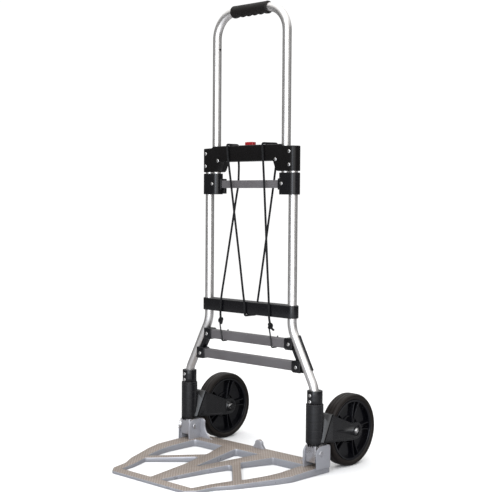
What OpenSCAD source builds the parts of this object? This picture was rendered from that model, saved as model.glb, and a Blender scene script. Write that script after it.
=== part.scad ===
// Folding hand truck: two splayed frame tubes, a telescoping loop handle, a cast lattice toe plate
// that folds up in front, and two wheels that swing in between the tubes as the plate folds.
// Millimetres. +Z is up, +X is the truck's right seen from the front, -Y is the front (toe plate).
// The origin is on the floor, midway between the wheel sleeves and under the plate's rear bar.

/* [Frame] */
// Outside diameter of every aluminium tube
tube_d = 25; // [22:0.5:25]
// Wall thickness of the tubes
tube_wall = 1.6; // [1:0.1:3]
// Distance of each upright frame tube from the middle
frame_x = 161.5; // [158:0.5:165]
// Distance of each wheel sleeve from the middle
sleeve_x = 245; // [245:1:270]
// Height of the top of the crosshead
head_top = 888; // [860:1:940]
// Height where the tubes splay outwards
kink_z = 384; // [378:1:390]
// Angle of the splayed part of the tubes from upright
splay = 28; // [26:0.5:29]
// Radius of the tube bends, to the tube's axis
bend_r = 80; // [60:1:90]

/* [Handle] */
// Distance of each handle tube from the middle
handle_x = 134.5; // [130:0.5:134.5]
// Height of the middle of the handle's grip
handle_z = 1266; // [1230:1:1300]
// Radius of the handle's bends, to the tube's axis
handle_bend_r = 71; // [50:1:90]
// Length of the rubber grip
grip_l = 138; // [100:1:140]
// How far the handle slides down
handle_travel = 300; // [250:1:300]

/* [Wheels] */
// Radius of the tyres
wheel_r = 100; // [90:0.5:100]
// Half the width of the tyres
wheel_hw = 20; // [16:0.5:20]
// Distance of the axle behind the sleeve
trail = 144; // [144:0.5:160]
// Number of paired spokes
spoke_pairs = 5; // [5:1:6]

/* [Toe plate] */
// Height of the toe plate's hinge pins
pin_z = 57.5; // [56:0.5:59]
// Height of the plate's top face at the rear edge
plate_rear_t = 22; // [18:0.5:24]
// Height of the plate's top face at the front edge
plate_front_t = 7; // [6:0.5:12]
// Wall thickness of the casting
plate_wall = 4.5; // [3:0.5:6]

/* [Release] */
// How far the red button presses down
press = 6; // [4:0.5:6]

/* [Hidden] */
$fn = 48;

tube_r = tube_d / 2;
bore_r = tube_r - tube_wall;
run = 0.05;                                // radial clearance of a running fit
eps = 0.01;

// Tube bends
tangent = bend_r * tan(splay / 2);
kink_low_z = kink_z - (sleeve_x - frame_x) / tan(splay);
handle_half = handle_x - handle_bend_r;    // half of the handle's straight top
handle_low_z = 757;

// Crosshead
head_r = 18.5;                             // half depth and end radius
head_bottom = 814;
beam_bottom = 843;
tube_top = head_top - 7;
lock_z = 865;
rivet_r = 3;
head_rivets = [[frame_x, 867], [frame_x, 831], [frame_x - 50, 846]];
button_w = 30;
button_d = 16;
stem_w = 44;
stem_d = 9;
stem_bottom = 853;
cap_bottom = 876;
button_top = 897;
slot_x = 17;                               // cross pin at rest
cross_pin_r = 2;
yoke_end = stem_w / 2 + press + 4.5;       // of the yoke that straddles the stem
pin_r = 3.9;
lock_hole_r = 4;
pin_tip = handle_x - tube_r - 0.4;
spring_r = 3.9;
cavity_z = [845.5, 878];
cavity_half_d = 10;
cavity_half_w = 33.5;

// Lower crossbar, braces and gussets
bar_r = 17.5;
bar_z = [413, 448.5];
brace_w = 26;
brace_d = 20;
brace_upper_z = 343;
brace_lower_z = 284;
socket_w = 34;
socket_h = 33;
brace_rivet_at = [[159.5, 342], [187, 282]];

// Slider
bracket_z = [750, 810];
slider_bar_z = [768, 790];
slider_bar_t = 7;

// Sleeve, fork and wheel
sleeve_z = [80, 190];
sleeve_r = 23.7;
collar_z = [190.6, 226];
collar_r = 21;
collar_rivet_z = [197, 214];
knuckle_r = 17;
knuckle_half = 17.7;
neck_r = 15;
hinge_r = 4;
ear_in = 18;
ear_out = 23;
ear_r = 21;
ear_back = 38;
arm_in = 24;
nose_r = 15.2;                             // outer ear's nose, under the gear segment
arm_out = 30;
arm_web = 3;
axle_r = 6;
rim_r = 84;
hub_r = 17;
hub_half = 19;

// Mitre gears between the outer ears and the fork sleeves; their pitch cones meet where the axes cross
gear_teeth = 20;                           // on a full circle
tip_cone = 48.4;
root_cone = 40.4;
tooth_root = 4.6;                          // half the angle of a tooth at its root
tooth_tip = 1.5;
gear_from = 18.3;                          // along the hinge pin
gear_to = 23.4;
crown_r = [18.6, 23.7];                    // of the crown on the sleeve
crown_tooth_r = crown_r + [0.2, -0.2];
crown_top = 88;
segment = [-27, 144];                      // start and extent of the fold gear's segment

// Bungee
cord_r = 3;
wire_r = 1.5;
knot_at = [[-96, -18, 388], [97, -18, 388]];
// Route of the elastic cord from the left knot, over the crosshead, down to the lower crossbar, under
// it, up behind, over the crosshead again and down to the right knot
cord_route = [
    [-96, -18, 394], [-94.5, -20.8, 406], [-93, -20.8, 430], [-92, -20.8, 450], [-84, -12, 534],
    [-72, 1.3, 658], [-63.4, 11, 748], [-60.2, 14.4, 779], [-61.5, 16.5, 800], [-65, 21, 828],
    [-66.5, 22, 840], [-67.5, 22, 848], [-69, 21.8, 858], [-69.5, 21.7, 872], [-69.5, 21.7, 884],
    [-69.5, 21.5, 888.9], [-69.5, 20.6, 890.5], [-69.5, 18.8, 891.3], [-69.5, 14, 891.4],
    [-70, 0, 891.4], [-70.5, -14, 891.4], [-70.5, -18.8, 891.3], [-70.5, -20.6, 890.5],
    [-70.5, -21.5, 888.9], [-70.3, -21.7, 884], [-68.5, -21.7, 868], [-65, -21.7, 843],
    [-56, -21.6, 790], [-37, -21.4, 675], [-18, -21.2, 560], [-4, -20.9, 470], [0, -20.8, 446],
    [2, -20.8, 425], [2.5, -20.8, 415], [2.8, -20.4, 411.3], [3.1, -19.2, 409.9], [3.5, -17, 409.5],
    [4.5, 0, 409.5], [6, 17, 409.5], [6.4, 19.2, 409.9], [6.8, 20.4, 411.3], [7.4, 20.8, 415],
    [9, 20.8, 430], [13, 20.8, 450], [30, 21, 546], [50, 21.3, 663], [69.5, 21.7, 779],
    [74.5, 21.9, 812], [78, 22, 836], [79.3, 22, 848], [80, 21.8, 858], [80.5, 21.7, 872],
    [80.5, 21.7, 884], [80.5, 21.5, 888.9], [80.3, 20.6, 890.5], [79.8, 18.8, 891.3],
    [78.4, 14, 891.4], [73.5, 0, 891.4], [68.4, -14, 891.4], [67, -18.8, 891.3], [66.4, -20.6, 890.5],
    [66.2, -21.5, 888.9], [66.2, -21.7, 884], [67.3, -21.7, 868], [69.3, -21.7, 843], [73, -21.6, 790],
    [80, -21.4, 680], [87, -21.2, 560], [93, -20.9, 470], [94, -20.8, 449], [95, -20.8, 430],
    [96, -20.8, 406], [97, -18, 394]
];

// ---------------------------------------------------------------- general shapes

module mirrored() {
    children();
    mirror([1, 0, 0]) children();
}

module along_x(r, x0, x1) translate([x0, 0, 0]) rotate([0, 90, 0]) cylinder(r = r, h = x1 - x0);

module along_y(r, y0, y1) translate([0, y0, 0]) rotate([-90, 0, 0]) cylinder(r = r, h = y1 - y0);

// An upright plate with its outline in the X-Z plane, from y0 to y1
module plate_xz(y0, y1) translate([0, y1, 0]) rotate([90, 0, 0]) linear_extrude(y1 - y0) children();

// An upright plate with its outline in the Y-Z plane, from x0 to x1
module plate_yz(x0, x1) translate([x0, 0, 0]) rotate([90, 0, 90]) linear_extrude(x1 - x0) children();

// Part of a torus in the X-Z plane, from angle a0 through a degrees
module bend(r, ring_r, a0, a) rotate([90, 0, 0]) rotate([0, 0, a0])
    rotate_extrude(angle = a, $fn = 96) translate([ring_r, 0]) circle(r = r);

// A pan-head fastener along Y with its head proud of y = -face
module dome_head(r, h, face) translate([0, -face, 0]) rotate([90, 0, 0]) intersection() {
    cylinder(r = r, h = h);
    translate([0, 0, h - (r * r + h * h) / (2 * h)]) sphere(r = (r * r + h * h) / (2 * h));
}

// Two-dimensional helpers for outlines with straight sides
function unit(v) = v / norm(v);
function normal(a, b) = let (u = unit(b - a)) [-u.y, u.x];
function inset(p, d) = let (n = len(p)) [
    for (i = [0 : n - 1])
        let (n1 = normal(p[(i + n - 1) % n], p[i]), n2 = normal(p[i], p[(i + 1) % n]))
            p[i] + d * (n1 + n2) / (1 + n1 * n2)
];
function rounded(p, r, steps = 4) = let (n = len(p)) [
    for (i = [0 : n - 1])
        let (b = p[i], u = unit(p[(i + n - 1) % n] - b), v = unit(p[(i + 1) % n] - b),
             half = acos(u * v) / 2, q = is_list(r) ? r[i] : r, t = q / tan(half),
             mid = b + unit(u + v) * q / sin(half))
            for (k = [0 : steps])
                mid + q * unit((b + u * t - mid) * (1 - k / steps) + (b + v * t - mid) * k / steps)
];

// ---------------------------------------------------------------- frame

// Length of the slanted stretch between the two bends
slant_l = (kink_z - kink_low_z) / cos(splay) - 2 * tangent;
// The slanted stretch reaches this far into each bend, a hair thinner, so that the three fuse
lap = 2;

// The run of one frame tube, right side, as a solid of radius r
module frame_run(r, low, high) {
    translate([frame_x, 0, kink_z + tangent]) cylinder(r = r, h = high - kink_z - tangent);
    translate([frame_x + bend_r, 0, kink_z + tangent]) bend(r, bend_r, 180, splay);
    slanted_run(r - 0.1, lap);
    translate([sleeve_x - bend_r, 0, kink_low_z - tangent]) bend(r, bend_r, 0, splay);
    translate([sleeve_x, 0, low]) cylinder(r = r, h = kink_low_z - tangent - low);
}

module slanted_run(r, over = 0)
    translate([frame_x + tangent * sin(splay), 0, kink_z - tangent * cos(splay)])
        rotate([0, 180 - splay, 0]) translate([0, 0, -over]) cylinder(r = r, h = slant_l + 2 * over);

module frame_tube() difference() {
    frame_run(tube_r, sleeve_z[0] - 0.4, tube_top);
    frame_run(bore_r, sleeve_z[0] - 1.4, tube_top + 1);
    for (p = head_rivets) translate([p[0], 0, p[1]]) along_y(rivet_r, -30, 30);
    for (z = collar_rivet_z) translate([sleeve_x, 0, z]) along_y(rivet_r, -30, 0);
}

module frame_tube_left() color("silver") mirror([1, 0, 0]) frame_tube();
module frame_tube_right() color("silver") frame_tube();

// Plan of a bar with round ends about x = +-half
module bar_plan(half, r) {
    translate([-half, -r]) square([2 * half, 2 * r]);
    for (s = [-1, 1]) translate([s * half, 0]) circle(r = r);
}

module crosshead_solid() difference() {
    intersection() {
        translate([0, 0, head_bottom]) linear_extrude(head_top - head_bottom) bar_plan(frame_x, head_r);
        plate_xz(-30, 30) polygon([
            [-190, head_bottom], [-117, head_bottom], [-117, 828], [-101, beam_bottom],
            [101, beam_bottom], [117, 828], [117, head_bottom], [190, head_bottom],
            [190, head_top - 6], [139, head_top - 5], [131, head_top], [-131, head_top],
            [-139, head_top - 5], [-190, head_top - 6]
        ]);
    }
    mirrored() {
        translate([frame_x, 0, head_bottom - 1]) cylinder(r = tube_r, h = tube_top - head_bottom + 1);
        translate([handle_x, 0, head_bottom - 1]) cylinder(r = tube_r + run, h = 100);
        for (p = head_rivets) translate([p[0], 0, p[1]]) along_y(rivet_r, -30, 30);
    }
    translate([0, 0, lock_z]) along_x(pin_r + run, -handle_x, handle_x);
    translate([-cavity_half_w, -cavity_half_d, cavity_z[0]])
        cube([2 * cavity_half_w, 2 * cavity_half_d, cavity_z[1] - cavity_z[0]]);
    translate([-button_w / 2 - 0.4, -button_d / 2 - 0.4, cavity_z[1] - 1])
        cube([button_w + 0.8, button_d + 0.8, 20]);
}

module crosshead_front() color("#1c1c1e") intersection() {
    crosshead_solid();
    translate([-200, -40, 800]) cube([400, 40, 100]);
}

module crosshead_rear() color("#1c1c1e") intersection() {
    crosshead_solid();
    translate([-200, 0, 800]) cube([400, 40, 100]);
}

module crosshead_rivets() color("silver") mirrored() for (p = head_rivets) translate([p[0], 0, p[1]]) {
    along_y(rivet_r, -head_r, head_r);
    dome_head(5, 1.8, head_r);
    mirror([0, 1, 0]) dome_head(5, 1.8, head_r);
}

// ---------------------------------------------------------------- release button and lock pins

// The diagonal path of a cross pin through the stem, right side
module stem_slot() for (t = [0 : press : press]) translate([slot_x - t, 0, lock_z + t])
    along_y(cross_pin_r + 0.12, -20, 20);

module stem_slot_run() let (h = cross_pin_r + 0.12)
    translate([slot_x, 0, lock_z]) rotate([0, 45, 0]) translate([-press * sqrt(2), -20, -h])
        cube([press * sqrt(2), 40, 2 * h]);

module release_button() color("#7d1418") difference() {
    union() {
        translate([-button_w / 2, -button_d / 2, cap_bottom])
            cube([button_w, button_d, button_top - 2 - cap_bottom]);
        translate([-button_w / 2 + 2, -button_d / 2 + 2, button_top - 2 - eps])
            cube([button_w - 4, button_d - 4, 2 + eps]);
        translate([-stem_w / 2, -stem_d / 2, stem_bottom])
            cube([stem_w, stem_d, cavity_z[1] - 0.5 - stem_bottom]);
        translate([0, 0, stem_bottom]) cylinder(r = 6, h = 24);
    }
    mirrored() {
        stem_slot();
        stem_slot_run();
    }
    translate([0, 0, stem_bottom - 1]) cylinder(r = spring_r + 0.3, h = 16);
}

module button_spring() color("silver") translate([0, 0, cavity_z[0]]) difference() {
    cylinder(r = spring_r, h = stem_bottom + 15 - cavity_z[0]);
    translate([0, 0, -1]) cylinder(r = spring_r - 1, h = 40);
}

module lock_pin() {
    translate([0, 0, lock_z]) difference() {
        union() {
            along_x(pin_r, yoke_end - 1, pin_tip);
            translate([slot_x - 5, -8.5, -4]) cube([yoke_end - slot_x + 5, 17, 8]);
        }
        translate([slot_x - 6, -stem_d / 2 - 0.3, -5]) cube([yoke_end - slot_x + 2, stem_d + 0.6, 10]);
    }
    translate([slot_x, 0, lock_z]) along_y(cross_pin_r, -8, 8);
}

module lock_pin_left() color("silver") mirror([1, 0, 0]) lock_pin();
module lock_pin_right() color("silver") lock_pin();

// ---------------------------------------------------------------- lower crossbar, braces and gussets

module lower_crossbar() color("#1c1c1e") difference() {
    translate([0, 0, bar_z[0]]) linear_extrude(bar_z[1] - bar_z[0]) bar_plan(frame_x, bar_r);
    mirrored() translate([frame_x, 0, bar_z[0] - 1]) cylinder(r = tube_r, h = 60);
}

module brace_bar(z, half) difference() {
    translate([-half, -brace_d / 2, z - brace_w / 2]) cube([2 * half, brace_d, brace_w]);
    translate([-half - 1, -brace_d / 2 + 2, z - brace_w / 2 + 2])
        cube([2 * half + 2, brace_d - 4, brace_w - 4]);
    mirrored() {
        slanted_run(tube_r);
        for (p = brace_rivet_at) translate([p[0], 0, p[1]]) along_y(rivet_r, -30, 30);
    }
}

module brace_bar_upper() color("#77797b") brace_bar(brace_upper_z, 166);
module brace_bar_lower() color("#77797b") brace_bar(brace_lower_z, 196);

// Offset of the slanted tube's axis from the middle at a height
function slant_x(z) = frame_x + (kink_z - z) * tan(splay);

module gusset() difference() {
    union() {
        translate([142.5, -13, brace_upper_z - socket_h / 2]) cube([36, 26, socket_h]);
        translate([170, -13, brace_lower_z - socket_h / 2]) cube([38, 26, socket_h]);
        plate_xz(-7, 13) polygon([
            [150, 350], [172, 358], [slant_x(358), 358],
            [slant_x(270), 270], [205, 268], [176, 285], [158, 322]
        ]);
        intersection() {
            slanted_run(tube_r + 3.5);
            translate([100, 0, 268]) cube([150, 40, 91]);
        }
    }
    slanted_run(tube_r);
    translate([0, -brace_d / 2, brace_upper_z - brace_w / 2]) cube([166, brace_d, brace_w]);
    translate([0, -brace_d / 2, brace_lower_z - brace_w / 2]) cube([196, brace_d, brace_w]);
    for (p = brace_rivet_at) translate([p[0], 0, p[1]]) along_y(rivet_r, -30, 30);
}

module gusset_left() color("#1c1c1e") mirror([1, 0, 0]) gusset();
module gusset_right() color("#1c1c1e") gusset();

module brace_rivets() color("silver") mirrored() for (p = brace_rivet_at) translate([p[0], 0, p[1]]) {
    along_y(rivet_r, -13, 13);
    dome_head(5, 1.8, 13);
    mirror([0, 1, 0]) dome_head(5, 1.8, 13);
}

// ---------------------------------------------------------------- sleeve collars and knuckles

module sleeve_collar() difference() {
    translate([sleeve_x, 0, collar_z[0]]) cylinder(r = collar_r, h = collar_z[1] - collar_z[0]);
    frame_run(tube_r, sleeve_z[0], tube_top);
    for (z = collar_rivet_z) translate([sleeve_x, 0, z]) along_y(rivet_r, -30, 0);
}

module sleeve_collar_left() color("#1c1c1e") mirror([1, 0, 0]) sleeve_collar();
module sleeve_collar_right() color("#1c1c1e") sleeve_collar();

module collar_rivets() color("silver") mirrored() for (z = collar_rivet_z) translate([sleeve_x, 0, z]) {
    along_y(rivet_r, -collar_r - 0.2, -bore_r);
    dome_head(5, 1.8, collar_r);
}

module knuckle() translate([sleeve_x, 0, 0]) difference() {
    union() {
        translate([0, 0, pin_z]) along_x(knuckle_r, -knuckle_half, knuckle_half);
        translate([0, 0, pin_z]) cylinder(r = neck_r, h = sleeve_z[0] - 0.4 - pin_z);
        translate([0, 0, pin_z]) cylinder(r = bore_r, h = 90);
        plate_yz(-knuckle_half, knuckle_half) polygon([
            [-knuckle_r, 73], [-knuckle_r, 34.8], [-15.7, 33.5], [0, 33.5], [5, 37.5], [5, 73]
        ]);
    }
    translate([0, 0, pin_z]) along_x(hinge_r + run, -30, 30);
}

module knuckle_left() color("silver") mirror([1, 0, 0]) knuckle();
module knuckle_right() color("silver") knuckle();

// ---------------------------------------------------------------- handle

module handle_run(r, low) {
    mirrored() {
        translate([handle_x, 0, low]) cylinder(r = r, h = handle_z - handle_bend_r - low);
        translate([handle_half, 0, handle_z - handle_bend_r]) bend(r, handle_bend_r, 0, 90);
    }
    translate([0, 0, handle_z]) along_x(r, -handle_half, handle_half);
}

module handle_tube() color("silver") difference() {
    handle_run(tube_r, handle_low_z);
    handle_run(bore_r, handle_low_z - 1);
    for (z = [lock_z, lock_z + handle_travel]) translate([0, 0, z])
        along_x(lock_hole_r, -handle_x, handle_x);
}

// The grip is a sleeve with rounded ends and finger scallops on its underside
module handle_grip() color("#18181a") translate([0, 0, handle_z]) difference() {
    union() {
        along_x(17, -grip_l / 2 + 3, grip_l / 2 - 3);
        along_x(15, -grip_l / 2, grip_l / 2);
    }
    along_x(tube_r, -grip_l / 2 - 1, grip_l / 2 + 1);
    mirrored() translate([handle_half, 0, -handle_bend_r]) bend(tube_r, handle_bend_r, 60, 30);
    for (i = [-2 : 2]) translate([i * 24, 0, -34.5]) along_y(20, -30, 30);
}

module slider_bracket() difference() {
    union() {
        translate([0, 0, bracket_z[0]]) linear_extrude(bracket_z[1] - bracket_z[0]) {
            translate([handle_x, -head_r]) square([frame_x - handle_x, 2 * head_r]);
            for (x = [handle_x, frame_x]) translate([x, 0]) circle(r = head_r);
        }
        translate([107, 4, 752]) cube([18, 10, 43]);
    }
    translate([frame_x, 0, 700]) cylinder(r = tube_r + run, h = 200);
    translate([handle_x, 0, handle_low_z]) cylinder(r = tube_r, h = 100);
    slider_bar_solid();
    translate([handle_x, 0, 780]) along_y(2.5, -30, 0);
}

module slider_bar_solid() translate([-118, -slider_bar_t / 2, slider_bar_z[0]])
    cube([236, slider_bar_t, slider_bar_z[1] - slider_bar_z[0]]);

module slider_bracket_left() color("#1c1c1e") mirror([1, 0, 0]) slider_bracket();
module slider_bracket_right() color("#1c1c1e") slider_bracket();
module slider_bar() color("#77797b") slider_bar_solid();

module slider_screws() color("silver") mirrored() translate([handle_x, 0, 780]) {
    along_y(2.5, -head_r, -tube_r);
    dome_head(4.5, 2, head_r);
}

// ---------------------------------------------------------------- toe plate

plate_front = -382;
plate_rear = 51;
half_outline = [
    [263, plate_rear], [263, -110], [248, -158], [224, -214], [204, -262], [175, -308], [164, -358],
    [140, plate_front]
];
outline = concat(
    [for (p = half_outline) [p.x, p.y]],
    [for (i = [len(half_outline) - 1 : -1 : 0]) [-half_outline[i].x, half_outline[i].y]]
);
middle_window = [[-45, -5], [0, -212], [45, -5]];
rear_window = [[101, -5], [214, -5], [214, -108], [208, -146], [192, -198], [185, -218], [68, -101]];
front_window = [[62, -130], [171, -238], [149, -296], [137, -350], [20, -350], [43, -205]];
middle_corners = [7, 3, 7];
rear_corners = [7, 10, 9, 9, 9, 3.5, 9];
front_corners = [9, 4, 9, 6, 4, 9];

module window_2d(p, turn, r, out) polygon(rounded(inset(p, turn * out), [for (q = r) q + out]));

module windows_2d(out) {
    window_2d(middle_window, -1, middle_corners, out);
    mirrored() {
        window_2d(rear_window, 1, rear_corners, out);
        window_2d(front_window, 1, front_corners, out);
    }
}

module plate_2d(d) difference() {
    polygon(rounded(inset(outline, -d), 14 - d));
    windows_2d(d);
}

// Height of the plate's sloping top face
function top_z(y) = plate_front_t
    + (y - plate_front) / (plate_rear - plate_front) * (plate_rear_t - plate_front_t);

// Stiffening ribs across the hollow underside of the rear bar
module rib_plan() for (x = [-180 : 60 : 180]) translate([x - 2, -6]) square([4, 58]);

module under_slope(drop) plate_yz(-300, 300) polygon([
    [-400, -1], [70, -1], [70, top_z(70) - drop], [-400, top_z(-400) - drop]
]);

module ear_profile(nose) {
    difference() {
        union() {
            translate([0, pin_z]) circle(r = nose);
            translate([-nose, 16]) square([ear_back + nose, pin_z - 16]);
            translate([0, pin_z - eps]) square([ear_back - 8, nose + eps]);
            translate([ear_back - 8, pin_z - eps]) square([8, nose - 8 + eps]);
            translate([ear_back - 8, pin_z + nose - 8]) circle(r = 8);
        }
        translate([0, pin_z]) circle(r = hinge_r);
    }
}

// Curved web from the inner ear down to the rear bar
module block_web() plate_xz(25, 30) difference() {
    translate([166, 16]) square([sleeve_x - ear_in - 166, pin_z + ear_r - 16]);
    translate([166, 62]) circle(r = 41);
    translate([120, 62]) square([87, 40]);
}

module hinge_block() {
    translate([sleeve_x, 0, 0]) {
        plate_yz(-ear_out, -ear_in) ear_profile(ear_r);
        plate_yz(ear_in, ear_out) difference() {
            ear_profile(ear_r);
            translate([0, pin_z]) segment_gap();
        }
    }
    translate([sleeve_x - ear_out, 30, 16]) cube([2 * ear_out, 5, pin_z + ear_r - 16]);
    block_web();
}

// Room in the outer ear's outline for the gear segment
module segment_gap() difference() {
    polygon(concat([[0, 0]], [
        for (k = [0 : 4]) let (a = 90 + segment[0] + k * segment[1] / 4) 45 * [cos(a), sin(a)]
    ]));
    circle(r = nose_r);
}

module toe_plate() color("#8f8a84") {
    difference() {
        intersection() {
            linear_extrude(40) plate_2d(0);
            under_slope(0);
        }
        intersection() {
            translate([0, 0, -1]) linear_extrude(40) difference() {
                plate_2d(plate_wall);
                rib_plan();
            }
            under_slope(plate_wall);
        }
    }
    mirrored() hinge_block();
    plate_xz(plate_rear - 11, plate_rear) {
        translate([0, 33]) circle(r = 13);
        polygon([[-22, 16], [22, 16], [22, 21], [13, 33], [-13, 33], [-22, 21]]);
    }
}

module hinge_pin() translate([sleeve_x, 0, pin_z]) {
    along_x(hinge_r, -ear_out - 1, ear_out + 1);
    along_x(7, ear_out, ear_out + 2.2);
    along_x(7, -ear_out - 2.2, -ear_out);
}

module hinge_pin_left() color("silver") mirror([1, 0, 0]) hinge_pin();
module hinge_pin_right() color("silver") hinge_pin();

// ---------------------------------------------------------------- mitre gears

// A point on a cone of the given half angle about +Z with its tip at the origin
function on_cone(cone, r, turn) = [r * cos(turn), r * sin(turn), r / tan(cone)];

// A tapering tooth centred on the turn angle; each radius is at one corner of its side outline
module tooth(turn, tip_r, base_r) let (base = root_cone - 1.5) polyhedron(
    [for (end = [0, 1]) each [
        on_cone(tip_cone, tip_r[end], turn - tooth_tip), on_cone(tip_cone, tip_r[end], turn + tooth_tip),
        on_cone(base, base_r[end], turn + tooth_root), on_cone(base, base_r[end], turn - tooth_root)
    ]],
    [[0, 1, 2, 3], [7, 6, 5, 4], [0, 4, 5, 1], [1, 5, 6, 2], [2, 6, 7, 3], [3, 7, 4, 0]]
);

// The gear segment on the outer ear, about the hinge pin
module fold_gear() color("silver") translate([sleeve_x, 0, pin_z]) rotate([180, 0, 0]) rotate([0, 90, 0]) {
    rotate([0, 0, segment[0]]) rotate_extrude(angle = segment[1]) polygon([
        [nose_r, gear_from], [gear_from * tan(root_cone) + 0.5, gear_from],
        [gear_to * tan(root_cone), gear_to], [nose_r, gear_to]
    ]);
    for (k = [-1 : 6]) tooth(k * 360 / gear_teeth,
        [gear_from * tan(tip_cone), gear_to * tan(tip_cone)],
        [nose_r + 0.2, gear_to * tan(root_cone - 1.5)]);
}

// The crown under the fork's sleeve, about the sleeve's axis
module swivel_gear() color("#2a2a2c") translate([sleeve_x, 0, pin_z]) {
    rotate_extrude() polygon([
        [crown_r[0], crown_r[0] / tan(root_cone)], [crown_r[1], crown_r[1] / tan(root_cone)],
        [crown_r[1], crown_top - pin_z], [crown_r[0], crown_top - pin_z]
    ]);
    for (k = [-1 : 5]) tooth(-(k + 0.5) * 360 / gear_teeth, crown_tooth_r, crown_tooth_r);
}

module fold_gear_left() mirror([1, 0, 0]) fold_gear();
module fold_gear_right() fold_gear();
module swivel_gear_left() mirror([1, 0, 0]) swivel_gear();
module swivel_gear_right() swivel_gear();

// ---------------------------------------------------------------- forks and wheels

// Side outline of a fork arm in the Y-Z plane; d shrinks it
module arm_outline(d) {
    polygon(inset([
        [0, 85], [trail - 20, wheel_r - 24], [trail + 6, wheel_r - 22], [trail + 6, wheel_r + 22],
        [trail - 20, wheel_r + 24], [47, 155], [20, 160]
    ], d));
    translate([trail, wheel_r]) circle(r = 24 - d);
}

module fork_arm() {
    difference() {
        plate_yz(arm_in, arm_out) arm_outline(0);
        plate_yz(arm_in + arm_web, arm_out + 1) arm_outline(4);
    }
    translate([0, trail, wheel_r]) along_x(13, arm_in, arm_out - 1);
}

module fork() translate([sleeve_x, 0, 0]) difference() {
    union() {
        translate([0, 0, sleeve_z[0]]) cylinder(r = sleeve_r, h = sleeve_z[1] - sleeve_z[0]);
        difference() {
            mirrored() fork_arm();
            plate_yz(-arm_out - 1, arm_out + 1)
                polygon([[-9, 60], [-3, 60], [38, 160], [38, 200], [-9, 200]]);
        }
        translate([0, 0, crown_top]) linear_extrude(160 - crown_top) polygon([
            [-21, 5], [21, 5], [24.5, 9], [arm_out, 37], [arm_out, 40], [-arm_out, 40], [-arm_out, 37],
            [-24.5, 9]
        ]);
    }
    translate([0, 0, 60]) cylinder(r = tube_r + run, h = 200);
    translate([0, 0, sleeve_z[0] - 1]) difference() {
        cylinder(r = crown_r[1] + 0.5, h = crown_top - sleeve_z[0] + 1);
        cylinder(r = crown_r[0], h = 20);
    }
    translate([-arm_in, 37, 60]) cube([2 * arm_in, 10, 140]);
    for (z = [99, 121, 142, 163, 184]) translate([0, 0, z]) rotate_extrude()
        translate([sleeve_r + 0.6, 0]) circle(r = 1.2, $fn = 16);
    translate([0, trail, wheel_r]) along_x(axle_r, -40, 40);
}

module wheel_fork_left() color("#1c1c1e") mirror([1, 0, 0]) fork();
module wheel_fork_right() color("#1c1c1e") fork();

module at_hub() translate([sleeve_x, trail, wheel_r]) children();

module hexagon(r, x0, x1) translate([x0, 0, 0]) rotate([0, 90, 0]) cylinder(r = r, h = x1 - x0, $fn = 6);

module axle_bolt() at_hub() {
    along_x(axle_r, -arm_out - 9, arm_out);
    hexagon(8, arm_out - 1, arm_out + 5);
}

module axle_nut() at_hub() difference() {
    hexagon(8, -arm_out - 7, -arm_out + 1);
    along_x(axle_r, -50, 0);
}

module axle_spacers() at_hub() for (x = [-arm_in, hub_half + 0.1]) difference() {
    along_x(10, x, x + arm_in - hub_half - 0.1);
    along_x(axle_r, x - 1, x + 10);
}

module axle_bolt_left() color("silver") mirror([1, 0, 0]) axle_bolt();
module axle_bolt_right() color("silver") axle_bolt();
module axle_nut_left() color("silver") mirror([1, 0, 0]) axle_nut();
module axle_nut_right() color("silver") axle_nut();
module axle_spacers_left() color("silver") mirror([1, 0, 0]) axle_spacers();
module axle_spacers_right() color("silver") axle_spacers();

// Turns a profile given as [radius, x] about the wheel's axle
module turned() rotate([0, 90, 0]) rotate_extrude($fn = 96) children();

module wheel_rim() at_hub() difference() {
    union() {
        turned() polygon([
            [77, -15], [rim_r - 2, -17], [rim_r, -17], [rim_r, 17], [rim_r - 2, 17], [77, 15], [77, 12],
            [80, 3], [80, -3], [77, -12]
        ]);
        turned() translate([10, -1.5]) square([72, 3]);
        along_x(hub_r, -hub_half, hub_half);
        for (i = [0 : spoke_pairs - 1], s = [-1, 1]) rotate([i * 360 / spoke_pairs + s * 7, 0, 0])
            translate([-11, -2, 12]) cube([22, 4, 69]);
    }
    along_x(axle_r + run, -30, 30);
}

module tyre() at_hub() turned() polygon([
    [rim_r, -16], [87, -wheel_hw + 0.6], [92, -wheel_hw], [96.5, -18], [99.3, -15], [wheel_r, -12],
    [wheel_r, 12], [99.3, 15], [96.5, 18], [92, wheel_hw], [87, wheel_hw - 0.6], [rim_r, 16]
]);

module wheel_rim_left() color("#222224") mirror([1, 0, 0]) wheel_rim();
module wheel_rim_right() color("#222224") wheel_rim();
module tyre_left() color("#2b2624") mirror([1, 0, 0]) tyre();
module tyre_right() color("#2b2624") tyre();

// ---------------------------------------------------------------- bungee cord and hooks

function cross_ring(at, along, r, sides) = let (
    u = unit(cross(along, abs(along.y) < 0.9 ? [0, 1, 0] : [1, 0, 0])), v = cross(u, along)
) [for (k = [0 : sides - 1]) at + r * (cos(k * 360 / sides) * u + sin(k * 360 / sides) * v)];

// A tube of the given radius swept along a route
module swept(route, r, sides = 8) {
    n = len(route);
    rings = [for (i = [0 : n - 1])
        cross_ring(route[i], unit(route[min(i + 1, n - 1)] - route[max(i - 1, 0)]), r, sides)];
    points = [for (ring = rings) for (p = ring) p];
    sides_faces = [for (i = [0 : n - 2]) for (k = [0 : sides - 1]) let (a = i * sides, m = (k + 1) % sides)
        each [[a + k, a + m, a + sides + m], [a + k, a + sides + m, a + sides + k]]];
    ends = [[for (k = [sides - 1 : -1 : 0]) k], [for (k = [0 : sides - 1]) (n - 1) * sides + k]];
    polyhedron(points, concat(sides_faces, ends), convexity = 8);
}

module bungee_cord() color("#151515") swept(cord_route, cord_r);

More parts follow.
